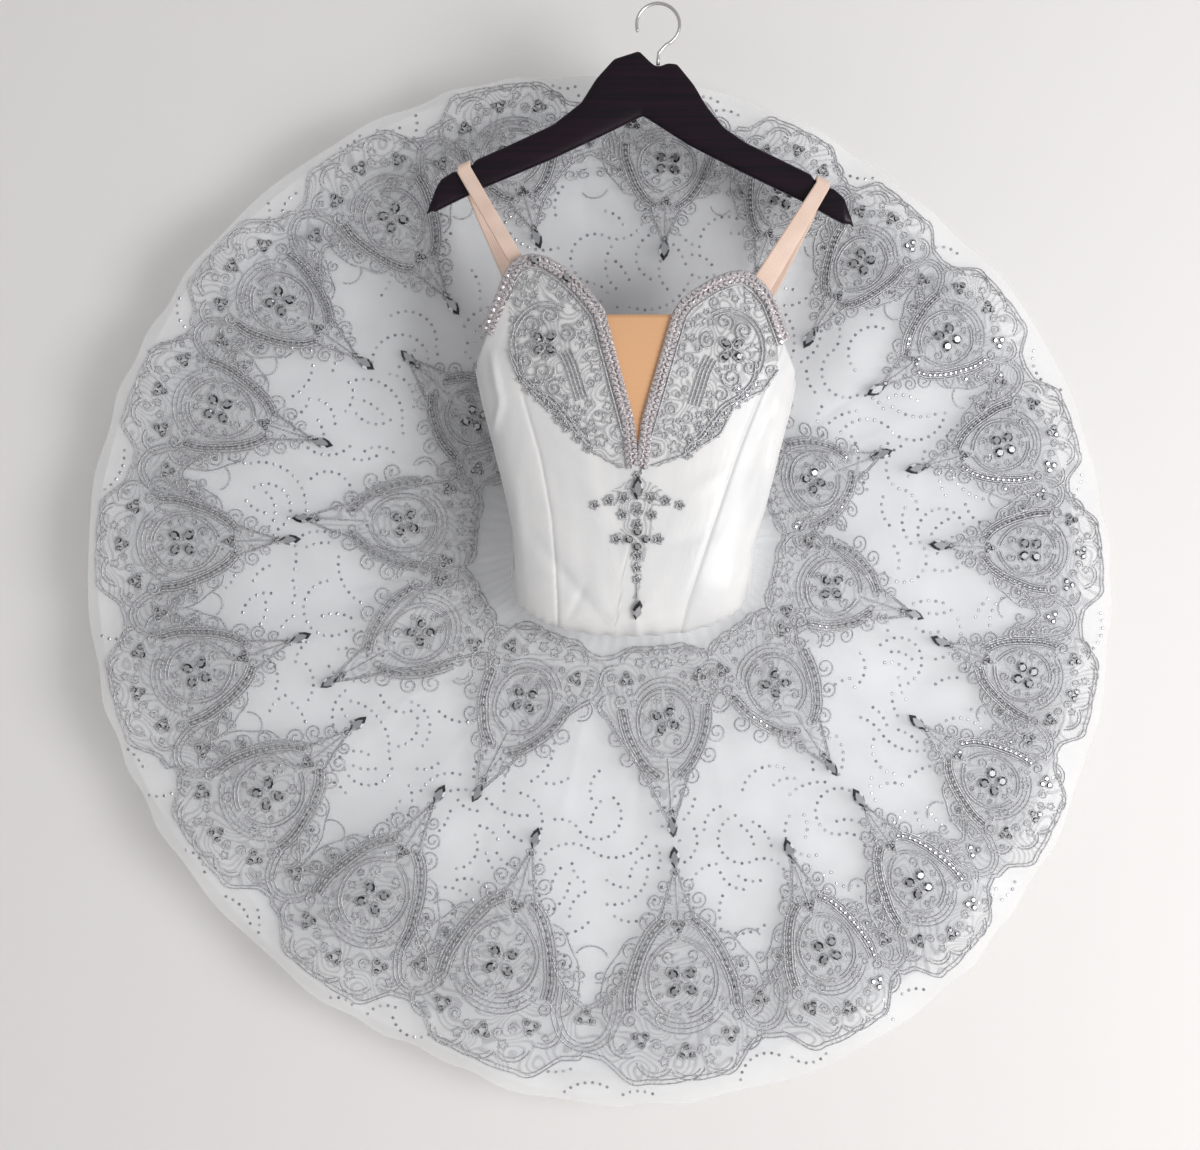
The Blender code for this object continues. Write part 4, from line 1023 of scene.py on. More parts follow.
def bigDesign():
    design = Design()
    # scalloped foot: five lobes with a double outline
    for x, y, radius, start, end in ((30, 22, 18, 215, 352), (56, 41, 17, 250, 392), (63, 71, 14, 285, 440)):
        design.draw(arcLine(x, y, radius, start, end), 0.9, 1.3, True)
        design.draw(arcLine(x, y, radius - 4.0, start + 8, end - 8), 0.7, 1.2, True)
    design.draw(arcLine(0, 18, 18, 205, 335), 0.9, 1.3)
    design.draw(arcLine(0, 18, 14, 212, 328), 0.7, 1.2)
    design.flower(43, 42, 10, 3, 4.6, 0.5, True)
    design.flower(0, 27, 10, 3, 4.6, 1.57)
    # nested arcs under the medallion
    for radius in (37, 42, 47):
        design.draw(arcLine(0, 92, radius, 218, 322), 0.8, 1.4)
    # medallion: two facing scrolls round the flower
    side = smoothLine([(3, 136), (16, 129), (28, 114), (31, 96), (26, 78), (13, 67), (3, 64)])
    for offset in (0.0, 3.6):
        design.draw(besideLine(side, offset), 0.9, 2.0, True)
    design.draw(spiralLine(21, 60, 8, 120, -1.3), 0.8, 1.8, True)
    design.draw(spiralLine(11, 121, 7, 250, 1.2), 0.8, 1.8, True)
    for turn in (45, 135, 225, 315):
        x, y = 11.5 * math.cos(math.radians(turn)), 96 + 11.5 * math.sin(math.radians(turn))
        design.draw(rosetteLine(x, y, 8.0, 2, math.radians(turn)), 0.8, 2.4)
        design.sew(x, y, "round", 8.2, turn, 3.6)
    # beaded shoulders: five cords side by side with a row of small beads
    shoulder = smoothLine([(14, 156), (25, 146), (36, 128), (44, 108), (50, 88), (51, 70)])
    for offset in (-6.0, -3.2, 0.0, 3.2, 6.0):
        design.draw(besideLine(shoulder, offset), 1.0, 2.0 - abs(offset) * 0.12, True)
    for place in shoulder[::2]:
        design.sew(place[0], place[1], "round", 2.8, 0.0, 3.2, True)
    design.draw(spiralLine(51, 61, 8, 90, -1.4), 1.0, 1.8, True)
    # scrolls outside the shoulders
    design.draw(spiralLine(57, 108, 11, 200, -1.5), 0.8, 1.3, True)
    design.draw(spiralLine(66, 90, 8, 160, -1.3), 0.8, 1.3, True)
    design.draw(spiralLine(47, 128, 9, 180, -1.4), 0.8, 1.3, True)
    design.draw(smoothLine([(38, 142), (50, 138), (60, 124), (70, 112), (76, 96), (78, 82)]), 0.8, 1.2, True)
    design.sew(57, 108, "round", 3.4, 0.0, 2.2, True)
    # tip: stem and scrolls that grow smaller
    design.draw(smoothLine([(0, 138), (0, 160), (0, 180), (0, 197)]), 0.8, 1.4)
    for x, y, radius, start, turns in (
            (27, 157, 11, 240, 1.5), (20, 175, 9, 230, 1.5), (11, 190, 7, 230, 1.4),
            (10, 160, 7, 60, -1.4), (8, 175, 5, 60, -1.2)):
        design.draw(spiralLine(x, y, radius, start, turns), 0.8, 1.4, True)
    design.flower(0, 150, 8, 3, 4.0, 0.5)
    design.draw(rosetteLine(0, 202, 5, 3, 0.5), 0.8, 1.4)
    design.sew(0, 202, "round", 4.2, 0.0, 2.2)
    design.sew(0, 217, "navette", 9.5, 0.0, 2.6)
    halves = ((4, 30), (20, 52), (45, 70), (80, 66), (110, 54), (140, 38), (170, 20), (195, 6))
    fillFree(design, (0, 78, 4, 195), lambda x, y: x < readTable(halves, y), 150, 5)
    return design


def smallDesign():
    # border round the hip: the same hand, shorter and broader
    design = Design()
    for x, y, radius, start, end in ((26, 16, 15, 210, 350), (49, 30, 14, 250, 400), (55, 54, 11, 285, 440)):
        design.draw(arcLine(x, y, radius, start, end), 0.9, 1.3, True)
        design.draw(arcLine(x, y, radius - 3.8, start + 8, end - 8), 0.7, 1.2, True)
    design.draw(arcLine(0, 14, 14, 205, 335), 0.9, 1.3)
    design.flower(36, 30, 8, 3, 4.0, 0.5, True)
    for radius in (27, 31.5, 36):
        design.draw(arcLine(0, 66, radius, 215, 325), 0.8, 1.4)
    side = smoothLine([(3, 102), (15, 96), (23, 84), (25, 68), (20, 54), (9, 46), (2, 45)])
    for offset in (0.0, 3.6):
        design.draw(besideLine(side, offset), 0.9, 1.9, True)
    design.draw(spiralLine(10, 90, 6, 250, 1.2), 0.8, 1.7, True)
    for turn in (60, 150, 240, 330):
        x, y = 9.5 * math.cos(math.radians(turn)), 70 + 9.5 * math.sin(math.radians(turn))
        design.draw(rosetteLine(x, y, 7.0, 2, math.radians(turn)), 0.8, 2.2)
        design.sew(x, y, "round", 7.2, turn, 3.4)
    shoulder = smoothLine([(11, 122), (22, 112), (32, 96), (39, 78), (42, 58)])
    for offset in (-5.2, -2.6, 0.0, 2.6, 5.2):
        design.draw(besideLine(shoulder, offset), 0.9, 1.9 - abs(offset) * 0.12, True)
    for place in shoulder[::2]:
        design.sew(place[0], place[1], "round", 2.6, 0.0, 3.0, True)
    design.draw(spiralLine(50, 84, 10, 200, -1.5), 0.8, 1.3, True)
    design.draw(spiralLine(41, 104, 9, 190, -1.4), 0.8, 1.3, True)
    design.draw(smoothLine([(0, 106), (0, 124), (0, 142), (0, 152)]), 0.8, 1.4)
    for x, y, radius, start, turns in ((22, 124, 9, 240, 1.5), (13, 138, 7, 230, 1.4), (8, 122, 6, 60, -1.3)):
        design.draw(spiralLine(x, y, radius, start, turns), 0.8, 1.4, True)
    design.draw(rosetteLine(0, 156, 5, 3, 0.5), 0.8, 1.4)
    design.sew(0, 156, "round", 4.2, 0.0, 2.2)
    design.sew(0, 170, "navette", 9.0, 0.0, 2.6)
    design.draw(spiralLine(42, 50, 7, 90, -1.4), 0.9, 1.8, True)
    halves = ((2, 26), (15, 44), (35, 60), (60, 58), (85, 50), (110, 34), (140, 14))
    fillFree(design, (0, 64, 2, 140), lambda x, y: x < readTable(halves, y), 120, 6)
    return design


def linkDesign():
    # swag between two motifs
    design = Design()
    swag = smoothLine([(-25, 66), (-25, 40), (-16, 18), (0, 10), (16, 18), (25, 40), (25, 66)])
    for offset in (0.0, 3.6, 7.2):
        design.draw(besideLine(swag, offset), 0.8, 1.3)
    design.flower(0, 40, 9, 3, 4.0, 1.57)
    design.draw(spiralLine(10, 58, 8, 250, 1.4), 0.8, 1.3, True)
    design.draw(spiralLine(20, 76, 7, 210, -1.4), 0.8, 1.3, True)
    design.draw(spiralLine(7, 77, 6, 250, 1.3), 0.8, 1.3, True)
    design.draw(arcLine(0, 92, 12, 20, 160), 0.8, 1.3)
    return design


jewelScale = 1.2  # sewn stones, against the sizes in the designs


class Sewing:
    # gathers placed lines and stones until they are sewn on a cloth
    def __init__(self):
        self.points, self.edges, self.sizes, self.rises = [], [], [], []
        self.stones = {"round": [], "navette": []}

    def couch(self, line, size, rise):
        # one cord along a line
        start = len(self.points)
        self.points += line
        self.edges += [(start + i, start + i + 1) for i in range(len(line) - 1)]
        self.sizes += [size] * len(line)
        self.rises += [rise] * len(line)

    def place(self, design, origin, up, across):
        def put(x, y):
            return (origin[0] + across[0] * x + up[0] * y, origin[1] + across[1] * x + up[1] * y)
        tilt = math.atan2(-up[0], up[1])
        for line, half, rise in design.lines:
            self.couch([put(x, y) for x, y in line], half * 0.001, rise * 0.001)
        for x, y, kind, size, turn, rise in design.stones:
            self.stones[kind].append((*put(x, y), size * 0.001, turn + tilt, rise * 0.001))

    def cords(self, name, clothObject, sides=3):
        return runTree(name, self.points, self.edges, {"size": self.sizes, "rise": self.rises}, cordTree,
                       {"Cloth": clothObject, "Sides": sides, "Finish": cordSilver})

    def jewels(self, name, kind, stone, clothObject, finish):
        rows = self.stones[kind]
        values = {label: [row[column] for row in rows]
                  for label, column in (("size", 2), ("turn", 3), ("rise", 4))}
        values["size"] = [size * jewelScale for size in values["size"]]
        return runTree(name, [row[:2] for row in rows], [], values, stoneTree,
                       {"Cloth": clothObject, "Stone": stone, "Finish": finish})


def motifFrame(angle, base, tip, length, width):
    # place of a design's foot, and a millimetre along and across it
    foot, end = platePoint(angle, base), platePoint(angle, tip)
    run = Vector((end.x - foot.x, end.z - foot.z))
    up = run / length
    across = Vector((up.y, -up.x)).normalized() * 0.001 * width
    return (foot.x, foot.z), tuple(up), tuple(across)


def sewOuterLace():
    motifs, links = Sewing(), Sewing()
    design, link = bigDesign(), linkDesign()
    count = len(outerMotifs)
    for index, (angle, tip, base) in enumerate(outerMotifs):
        before, after = outerMotifs[index - 1], outerMotifs[(index + 1) % count]
        room = ((angle - before[0]) % 360.0 + (after[0] - angle) % 360.0) / 2
        motifs.place(design, *motifFrame(angle, base, tip, 212, room / 18.0 * 0.84))
        gap = (after[0] - angle) % 360.0
        low = (base + after[2]) / 2 - 0.045
        links.place(link, *motifFrame(angle + gap / 2, low, low - 0.235, 100, gap / 18.0))
    return motifs, links


def sewInnerLace():
    motifs = Sewing()
    design = smallDesign()
    for angle, base, tip in innerMotifs:
        motifs.place(design, *motifFrame(angle, base, tip, 172, 1.0))
    return motifs


outerSewing, linkSewing = sewOuterLace()
innerSewing = sewInnerLace()
finishPiece(outerSewing.cords("outer_lace_cords", overlay), "silver_corded_lace")
finishPiece(linkSewing.cords("outer_lace_links", overlay), "silver_corded_lace")
finishPiece(innerSewing.cords("inner_lace_cords", overlay), "silver_corded_lace")

plateStones = Sewing()
for sewing in (outerSewing, linkSewing, innerSewing):
    for kind, rows in sewing.stones.items():
        plateStones.stones[kind] += rows
for name, kind, stone in (("plate_round_stones", "round", roundStone),
                          ("plate_navettes", "navette", navette)):
    finishPiece(plateStones.jewels(name, kind, stone, overlay, crystal), "crystal_bead_trim")

# Lace grounds

# shares of the plate where the lace is narrowest, between two motifs
outerValley, innerValley = 0.80, 0.17
# way from a motif's middle to the next gap, way from tip to valley, drop of the foot
motifProfile = (
    (0.0, 0.0, 0.0), (0.25, 0.40, 0.004), (0.5, 0.66, -0.004), (0.75, 0.88, 0.045), (1.0, 1.0, 0.062),
)
groundCells = {"columns": 480, "rows": 16, "lift": 0.0010}
edgeLines = {"points": 900, "insets": (0.0, 0.009), "half": 0.0007, "rise": 0.0016}


def softTable(table, place, column):
    # a table's value with its corners rounded off, but sharp at the motif's middle
    reach = min(0.04, 0.4 * place)
    steps = [place + reach * step for step in (-2, -1, 0, 1, 2)]
    return sum(readTable(table, step, column) for step in steps) / len(steps)


def groundEdges(angle, motifs, valley, inner):
    # tip and base shares of the lace at an angle
    count = len(motifs)
    for index, motif in enumerate(motifs):
        after = motifs[(index + 1) % count]
        gap = (after[0] - motif[0]) % 360.0
        past = (angle - motif[0]) % 360.0
        if past < gap:
            owner, away = (motif, past) if past < gap / 2 else (after, gap - past)
            share = away / (gap / 2)
            tip, base = (owner[2], owner[1]) if inner else (owner[1], owner[2])
            tipNow = tip + (valley - tip) * softTable(motifProfile, share, 1)
            drop = softTable(motifProfile, share, 2)
            scallop = 0.010 * abs(math.sin(share * math.pi * 2.5))
            return tipNow, (base + 0.4 * drop if inner else base - drop + scallop * 0.6)
    return motifs[0][1], motifs[0][2]


def makeGround(name, motifs, valley, inner, node):
    columns, rows = groundCells["columns"], groundCells["rows"]
    grid = [[] for _ in range(rows + 1)]
    for column in range(columns):
        angle = 360.0 * column / columns
        start, end = groundEdges(angle, motifs, valley, inner)
        if inner:
            start, end = end, start
        for row in range(rows + 1):
            share = min(0.998, start + (end - start) * row / rows)
            point = platePoint(angle, share)
            point.y = overlayDepth(angle, share) - groundCells["lift"]
            grid[row].append(point)
    obj = gridMesh(name, grid, laceGround, around=True, flip=not inner, uvs=plateUv(columns, rows))
    finishPiece(obj, "silver_corded_lace", node)


def edgeCords(name, motifs, valley, inner):
    # fine double cord along both edges of the lace
    work = Sewing()
    count = edgeLines["points"]
    for edge in (0, 1):
        for inset in edgeLines["insets"]:
            line = []
            for step in range(count + 1):
                angle = 360.0 * step / count
                share = groundEdges(angle, motifs, valley, inner)[edge]
                toward = 1 if (edge == 0) != inner else -1
                place = platePoint(angle, min(0.996, share + toward * inset))
                line.append((place.x, place.z))
            work.couch(line, edgeLines["half"], edgeLines["rise"])
    finishPiece(work.cords(name, overlay), "silver_corded_lace")


edgeCords("outer_lace_edges", outerMotifs, outerValley, False)
edgeCords("inner_lace_edges", innerMotifs, innerValley, True)

makeGround("outer_lace_ground", outerMotifs, outerValley, False, "outer_lace_border")
makeGround("inner_lace_ground", innerMotifs, innerValley, True, "inner_lace_border")
print("lace grounds made")

# Trims and lace of the bodice

bodiceTrim = {
    "halfWidth": 0.0062,
    "stonePitch": 0.0058,
    "stoneSize": 5.6,
    "rowOffset": 0.0032,
    "crystals": ((-0.1140, -0.2423), (-0.0763, -0.2598)),
    # lower edge of each cup's lace: x, z
    "leftCup": ((-0.1420, -0.3380), (-0.1343, -0.3610), (-0.1079, -0.3920), (-0.0795, -0.4110),
                (-0.0650, -0.4330), (-0.0345, -0.4500)),
    "rightCup": ((-0.0075, -0.4480), (0.0290, -0.4360), (0.0573, -0.4180), (0.0715, -0.3894),
                 (0.0998, -0.3752), (0.1120, -0.3560)),
    "dropX": -0.0205,
    "dropGround": 0.70,  # share of the drop's width that the net ground fills
    "laceLift": 0.0014,
    # height, half width
    "drop": ((-0.4570, 0.0040), (-0.4660, 0.0260), (-0.4760, 0.0440), (-0.4900, 0.0230), (-0.5030, 0.0190),
             (-0.5139, 0.0280), (-0.5270, 0.0120), (-0.5450, 0.0070), (-0.5600, 0.0045), (-0.5710, 0.0060),
             (-0.5830, 0.0012)),
}


def evenPlaces(path, pitch):
    lengths = [0.0]
    for start, end in zip(path, path[1:]):
        lengths.append(lengths[-1] + math.dist(start, end))
    xs = [(length, point[0]) for length, point in zip(lengths, path)]
    zs = [(length, point[1]) for length, point in zip(lengths, path)]
    count = max(2, round(lengths[-1] / pitch))
    places = [lengths[-1] * step / count for step in range(count + 1)]
    return [(readTable(xs, place), readTable(zs, place)) for place in places]


def trimPaths():
    neckline, (vX, vZ) = bodice["neckline"], bodice["vPoint"]
    split = neckline.index(bodice["vPoint"])
    left = [place for place in neckline[:split] if place[0] > -0.175] + [(vX - 0.0044, vZ - 0.0095)]
    right = [(vX + 0.0044, vZ - 0.0095)] + [place for place in neckline[split + 1:] if place[0] < 0.130]
    return (("left", left), ("right", right))


def makeNeckTrim():
    for side, path in trimPaths():
        places = evenPlaces(path, 0.0028)
        grid = [[] for _ in range(7)]
        for place, moved in zip(places, besideLine(places, 1.0)):
            across = (moved[0] - place[0], moved[1] - place[1])
            for row in range(7):
                off = bodiceTrim["halfWidth"] * (row / 3 - 1)
                crown = 0.0026 - 0.0009 * (row / 3 - 1) ** 2
                grid[row].append(frontPoint(place[0] + across[0] * off, place[1] + across[1] * off, crown))
        name = "neck_trim_band_" + side
        band = gridMesh(name, grid, braid, thick=0.0014,
                        uvs=lambda row, column: (column * 0.0028, row * 0.002))
        finishPiece(band, "crystal_bead_trim", "neck_trim_" + side)
        points, turns = [], []
        for sign in (-1, 1):
            stones = evenPlaces(path, bodiceTrim["stonePitch"])
            if sign > 0:
                stones = [((a[0] + b[0]) / 2, (a[1] + b[1]) / 2) for a, b in zip(stones, stones[1:])]
            for place, moved in zip(stones, besideLine(stones, bodiceTrim["rowOffset"] * sign)):
                points.append(moved)
                turns.append(0.4 * len(turns))
        count = len(points)
        stones = runTree("neck_trim_stones_" + side, points, [],
                         {"size": [bodiceTrim["stoneSize"] * 0.001] * count, "turn": turns,
                          "rise": [0.0007] * count},
                         stoneTree, {"Cloth": band, "Stone": roundStone, "Finish": rhinestone})
        finishPiece(stones, "crystal_bead_trim")
        if side == "left":
            marks = [min(places, key=lambda place: math.dist(place, spot)) for spot in bodiceTrim["crystals"]]
            large = runTree("neck_trim_crystals", marks, [],
                            {"size": [0.0085] * len(marks), "turn": [0.2] * len(marks),
                             "rise": [0.0022] * len(marks)},
                            stoneTree, {"Cloth": band, "Stone": roundStone, "Finish": crystal})
            finishPiece(large, "crystal_bead_trim")


def clearOfNeck(x):
    z = readTable(bodice["neckline"], x)
    neck = [Vector(place) for place in bodice["neckline"]]
    while True:
        here = Vector((x, z))
        gaps = []
        for start, end in zip(neck, neck[1:]):
            run = end - start
            way = max(0.0, min(1.0, (here - start).dot(run) / run.length_squared))
            gaps.append((here - start - run * way).length)
        if min(gaps) >= bodiceTrim["halfWidth"] + 0.0012:
            return z
        z -= 0.0006


def makeCups():
    for side, edge in (("left", bodiceTrim["leftCup"]), ("right", bodiceTrim["rightCup"])):
        columns, rows = 44, 22
        grid = [[] for _ in range(rows + 1)]
        for column in range(columns + 1):
            x = edge[0][0] + (edge[-1][0] - edge[0][0]) * column / columns
            top = clearOfNeck(x)
            bottom = min(top - 0.003, readTable(edge, x) - 0.0020 * abs(math.sin(column * 0.72)))
            for row in range(rows + 1):
                grid[row].append(frontPoint(x, bottom + (top - bottom) * row / rows, bodiceTrim["laceLift"]))
        name = "cup_lace_ground_" + side
        ground = gridMesh(name, grid, bodiceGround, thick=0.0007,
                          uvs=lambda row, column: (column * 0.003, row * 0.003))
        finishPiece(ground, "silver_corded_lace", "cup_applique_" + side)


def makeDropGround():
    grid = []
    for z, half in bodiceTrim["drop"]:
        grid.append([frontPoint(bodiceTrim["dropX"] + half * (c / 5 - 1) * bodiceTrim["dropGround"],
                                z, bodiceTrim["laceLift"]) for c in range(11)])
    grid.reverse()
    ground = gridMesh("centre_drop_ground", grid, bodiceGround, thick=0.0007,
                      uvs=lambda row, column: (column * 0.003, row * 0.012))
    finishPiece(ground, "silver_corded_lace", "centre_drop")


def cupDesign():
    # x to the side, y up from the middle of the cup, drawn for the left cup
    design = Design()
    for radius in (34, 30.5):
        design.draw(arcLine(-6, 4, radius, 60, 212, 1.15), 0.9, 2.2)
    side = smoothLine([(-34, -6), (-31, -24), (-18, -40), (-2, -50), (8, -62), (20, -78), (34, -92)])
    for offset in (0.0, 3.4):
        design.draw(besideLine(side, offset), 0.9, 2.2)
    for turn in (45, 135, 225, 315):
        x, y = -8 + 8.5 * math.cos(math.radians(turn)), 4 + 8.5 * math.sin(math.radians(turn))
        design.draw(rosetteLine(x, y, 7.0, 2, math.radians(turn)), 0.8, 2.8)
        design.sew(x, y, "round", 6.6, turn, 3.8)
    design.draw(spiralLine(-20, 22, 9, 300, 1.5), 0.9, 2.3)
    design.draw(spiralLine(-2, 30, 9, 240, -1.5), 0.9, 2.3)
    design.draw(spiralLine(-25, -12, 8, 90, 1.4), 0.9, 2.3)
    design.draw(spiralLine(14, 12, 9, 120, -1.5), 0.9, 2.3)
    for offset in (0.0, 3.6, 7.2, 10.8):
        design.draw(besideLine(smoothLine([(6, -6), (12, -18), (17, -34), (22, -50)]), offset), 0.9, 2.2)
    design.draw(spiralLine(-8, -22, 10, 20, -1.6), 0.9, 2.3)
    design.draw(spiralLine(2, -38, 8, 80, 1.4), 0.9, 2.3)
    for x, y, radius in ((-30, -28, 5), (-22, -38, 6), (-12, -46, 6), (-2, -55, 6), (6, -66, 6), (14, -74, 6),
                         (24, -84, 6), (33, -94, 5), (12, -56, 5), (22, -68, 5), (30, -80, 5), (-14, -32, 5)):
        design.draw(rosetteLine(x, y, radius, 5, 0.3 * x), 0.8, 2.2)
        design.draw(rosetteLine(x, y, radius * 0.55, 5, 0.3 * x), 0.6, 2.2)
        design.sew(x, y, "round", 2.8, 0.0, 2.8)
    return design


def cupWork(side, middleX, middleZ, sign):
    design = cupDesign()
    edge = bodiceTrim[side]
    steps = [edge[0][0] + (edge[-1][0] - edge[0][0]) * step / 40 for step in range(41)]
    tops = [(x, clearOfNeck(x)) for x in steps]

    def inside(x, y):
        placeX, placeZ = middleX + sign * x * 0.001, middleZ + y * 0.001
        return (steps[0] + 0.003 < placeX < steps[-1] - 0.003
                and readTable(edge, placeX) + 0.003 < placeZ < readTable(tops, placeX) - 0.003)
    fillFree(design, (-48, 66, -112, 84), inside, 900, 21, mirrored=False)
    outline = [(x, readTable(edge, x) + 0.0012) for x in steps]
    upper = [(x, z - 0.001) for x, z in tops]
    for line in (outline, upper):
        local = [((x - middleX) * 1000 * sign, (z - middleZ) * 1000) for x, z in line]
        design.draw(smoothLine(local), 0.9, 2.2)
    return design


def dropDesign():
    # y down from the V, in millimetres
    design = Design()
    rows = ((3, (0,), 4), (24, (-13, 13), 5.5), (27, (-27, 27), 5), (31, (-40, 40), 4.5), (36, (0,), 6),
            (40, (-14, 14), 5), (49, (0,), 5), (63, (-20, 20), 5), (78, (0,), 5), (90, (0,), 4.5),
            (101, (0,), 4))
    for y, places, radius in rows:
        for x in places:
            design.draw(rosetteLine(x, -y, radius, 5, 0.2 * y), 0.85, 2.2)
            design.sew(x, -y, "round", 3.4, 0.0, 2.8)
    design.sew(0, -15, "navette", 9.5, 0.0, 3.2)
    for x, y in ((0, -56), (0, -70), (-8, -63), (8, -63)):
        design.sew(x, y, "round", 6.4, 0.3, 3.4)
    design.draw(smoothLine([(0, -98), (0, -110), (0, -122)]), 0.8, 2.2)
    design.sew(0, -129, "navette", 9.0, 0.0, 3.0)
    return design


def sewBodice():
    work = Sewing()
    mm = 0.001
    work.place(cupWork("leftCup", -0.0995, -0.3360, 1), (-0.0995, -0.3360), (0.0, mm), (mm, 0.0))
    work.place(cupWork("rightCup", 0.0600, -0.3420, -1), (0.0600, -0.3420), (0.0, mm), (-mm, 0.0))
    work.place(dropDesign(), (bodiceTrim["dropX"], -0.4530), (0.0, mm), (mm, 0.0))
    finishPiece(work.cords("bodice_lace_cords", satinBodice, 4), "silver_corded_lace")
    for name, kind, stone in (("bodice_round_stones", "round", roundStone),
                              ("bodice_navettes", "navette", navette)):
        finishPiece(work.jewels(name, kind, stone, satinBodice, crystal), "crystal_bead_trim")
    print("trims and lace of the bodice made")


makeNeckTrim()
makeCups()
makeDropGround()
sewBodice()

# Knickers, straps and hanger

knickers = {
    "startY": 0.0584,
    "bandEndY": 0.1080,
    "crotchY": 0.1440,
    "strip": 38,  # degrees to each side
    "taper": 0.45,
    "thick": 0.0010,
    "bandRows": 8,
    "stripRows": 12,
}


def knickersPoint(angle, way):
    turn = math.radians(angle)
    if way <= 1.0:
        gather = 0.0006 * math.sin(47 * turn) * math.sin(math.pi * way)
        return hipPoint(turn, gather, knickers["startY"] + (knickers["bandEndY"] - knickers["startY"]) * way)
    bend = (way - 1.0) * math.pi / 2
    edge = hipPoint(turn, 0.0, knickers["bandEndY"])
    middle = plate["hipCentre"]
    narrow = 1.0 - knickers["taper"] * (way - 1.0)
    return Vector((
        middle.x + (edge.x - middle.x) * narrow,
        knickers["bandEndY"] + (knickers["crotchY"] - knickers["bandEndY"]) * math.sin(bend),
        middle.z + (edge.z - middle.z) * math.cos(bend),
    ))


def makeKnickers():
    points, faces, number = [], [], {}

    def corner(angle, way):
        place = knickersPoint(angle, way)
        key = tuple(round(value, 5) for value in place)
        if key not in number:
            number[key] = len(points)
            points.append(place)
        return number[key]

    bandRows, stripRows = knickers["bandRows"], knickers["stripRows"]
    cells = [(angle, row / bandRows, 1 / bandRows)
             for angle in range(-180, 180, 2) for row in range(bandRows)]
    strip = knickers["strip"]
    for middle in (0, 180):
        cells += [(middle + angle, 1 + row / stripRows, 1 / stripRows)
                  for angle in range(-strip, strip, 2) for row in range(stripRows)]
    for angle, way, step in cells:
        faces.append([corner(angle, way), corner(angle + 2, way),
                      corner(angle + 2, way + step), corner(angle, way + step)])
    obj = closedMesh("white_knickers", points, faces, jersey)
    obj.modifiers.new("thickness", "SOLIDIFY").thickness = knickers["thick"]
    finishPiece(obj, "white_knickers_cloth", "knickers_front", "knickers_back")


makeKnickers()

# side, front foot x and z, back foot x and z, top x and z, slope of the arm, half widths at top and foot
straps = (
    ("left", -0.1300, -0.2620, -0.0920, -0.3800, -0.1865, -0.1570, 0.47, 0.0070, 0.0072),
    ("right", 0.0960, -0.2780, 0.0560, -0.3800, 0.1580, -0.1716, -0.50, 0.0070, 0.0105),
)


def behindBack(x, z, depth):
    def angleAt(level):
        row = smoothRow(bodice["sections"], level)
        return math.pi - shareToAngle((x - row[4]) / row[5])
    level = levelAt(angleAt, lambda _: z, bodice["bustLevel"], bodice["topLevel"])
    return bodicePoint(angleAt(level), level) - Vector((0.0, depth, 0.0))


def makeStraps():
    clear = 0.0066
    depth = 0.0043
    columns = 8
    for side, frontX, frontZ, backX, backZ, topX, topZ, slope, topHalf, footHalf in straps:
        across = Vector((1.0, 0.0, slope)).normalized()
        spots = [-1.0 + 2.0 * c / columns for c in range(columns + 1)]
        front = [frontPoint(frontX + across.x * footHalf * s, frontZ + across.z * footHalf * s, -depth)
                 for s in spots]
        back = [behindBack(backX + across.x * topHalf * s, backZ + across.z * topHalf * s, depth)
                for s in spots]
        over = [[Vector((topX, y, topZ + rise)) + across * topHalf * s for s in spots]
                for y, rise in ((-clear, -0.004), (-clear * 0.75, 0.0012),
                                (clear * 0.75, 0.0012), (clear, -0.004))]
        stations = [front, [a.lerp(b, 0.5) for a, b in zip(front, over[0])], *over,
                    [a.lerp(b, 0.5) for a, b in zip(back, over[-1])], back]
        rows = []
        for index in range(len(stations) - 1):
            steps = 3 if 2 <= index <= 4 else 14
            for step in range(steps):
                rows.append([a.lerp(b, step / steps) for a, b in zip(stations[index], stations[index + 1])])
        rows.append(stations[-1])
        outer = []
        for index, row in enumerate(rows):
            run = rows[min(index + 1, len(rows) - 1)][4] - rows[max(index - 1, 0)][4]
            out = run.cross(across).normalized()
            slack = 0.0004 * math.sin(index * 0.9)
            outer.append([place - out * (0.0014 + slack) for place in row])
        obj = gridMesh("elastic_strap_" + side, [list(reversed(row)) for row in outer], elastic, thick=0.0012,
                       uvs=lambda row, column: (column * 0.00175, row * 0.003))
        finishPiece(obj, "nude_elastic", "strap_" + side)


makeStraps()

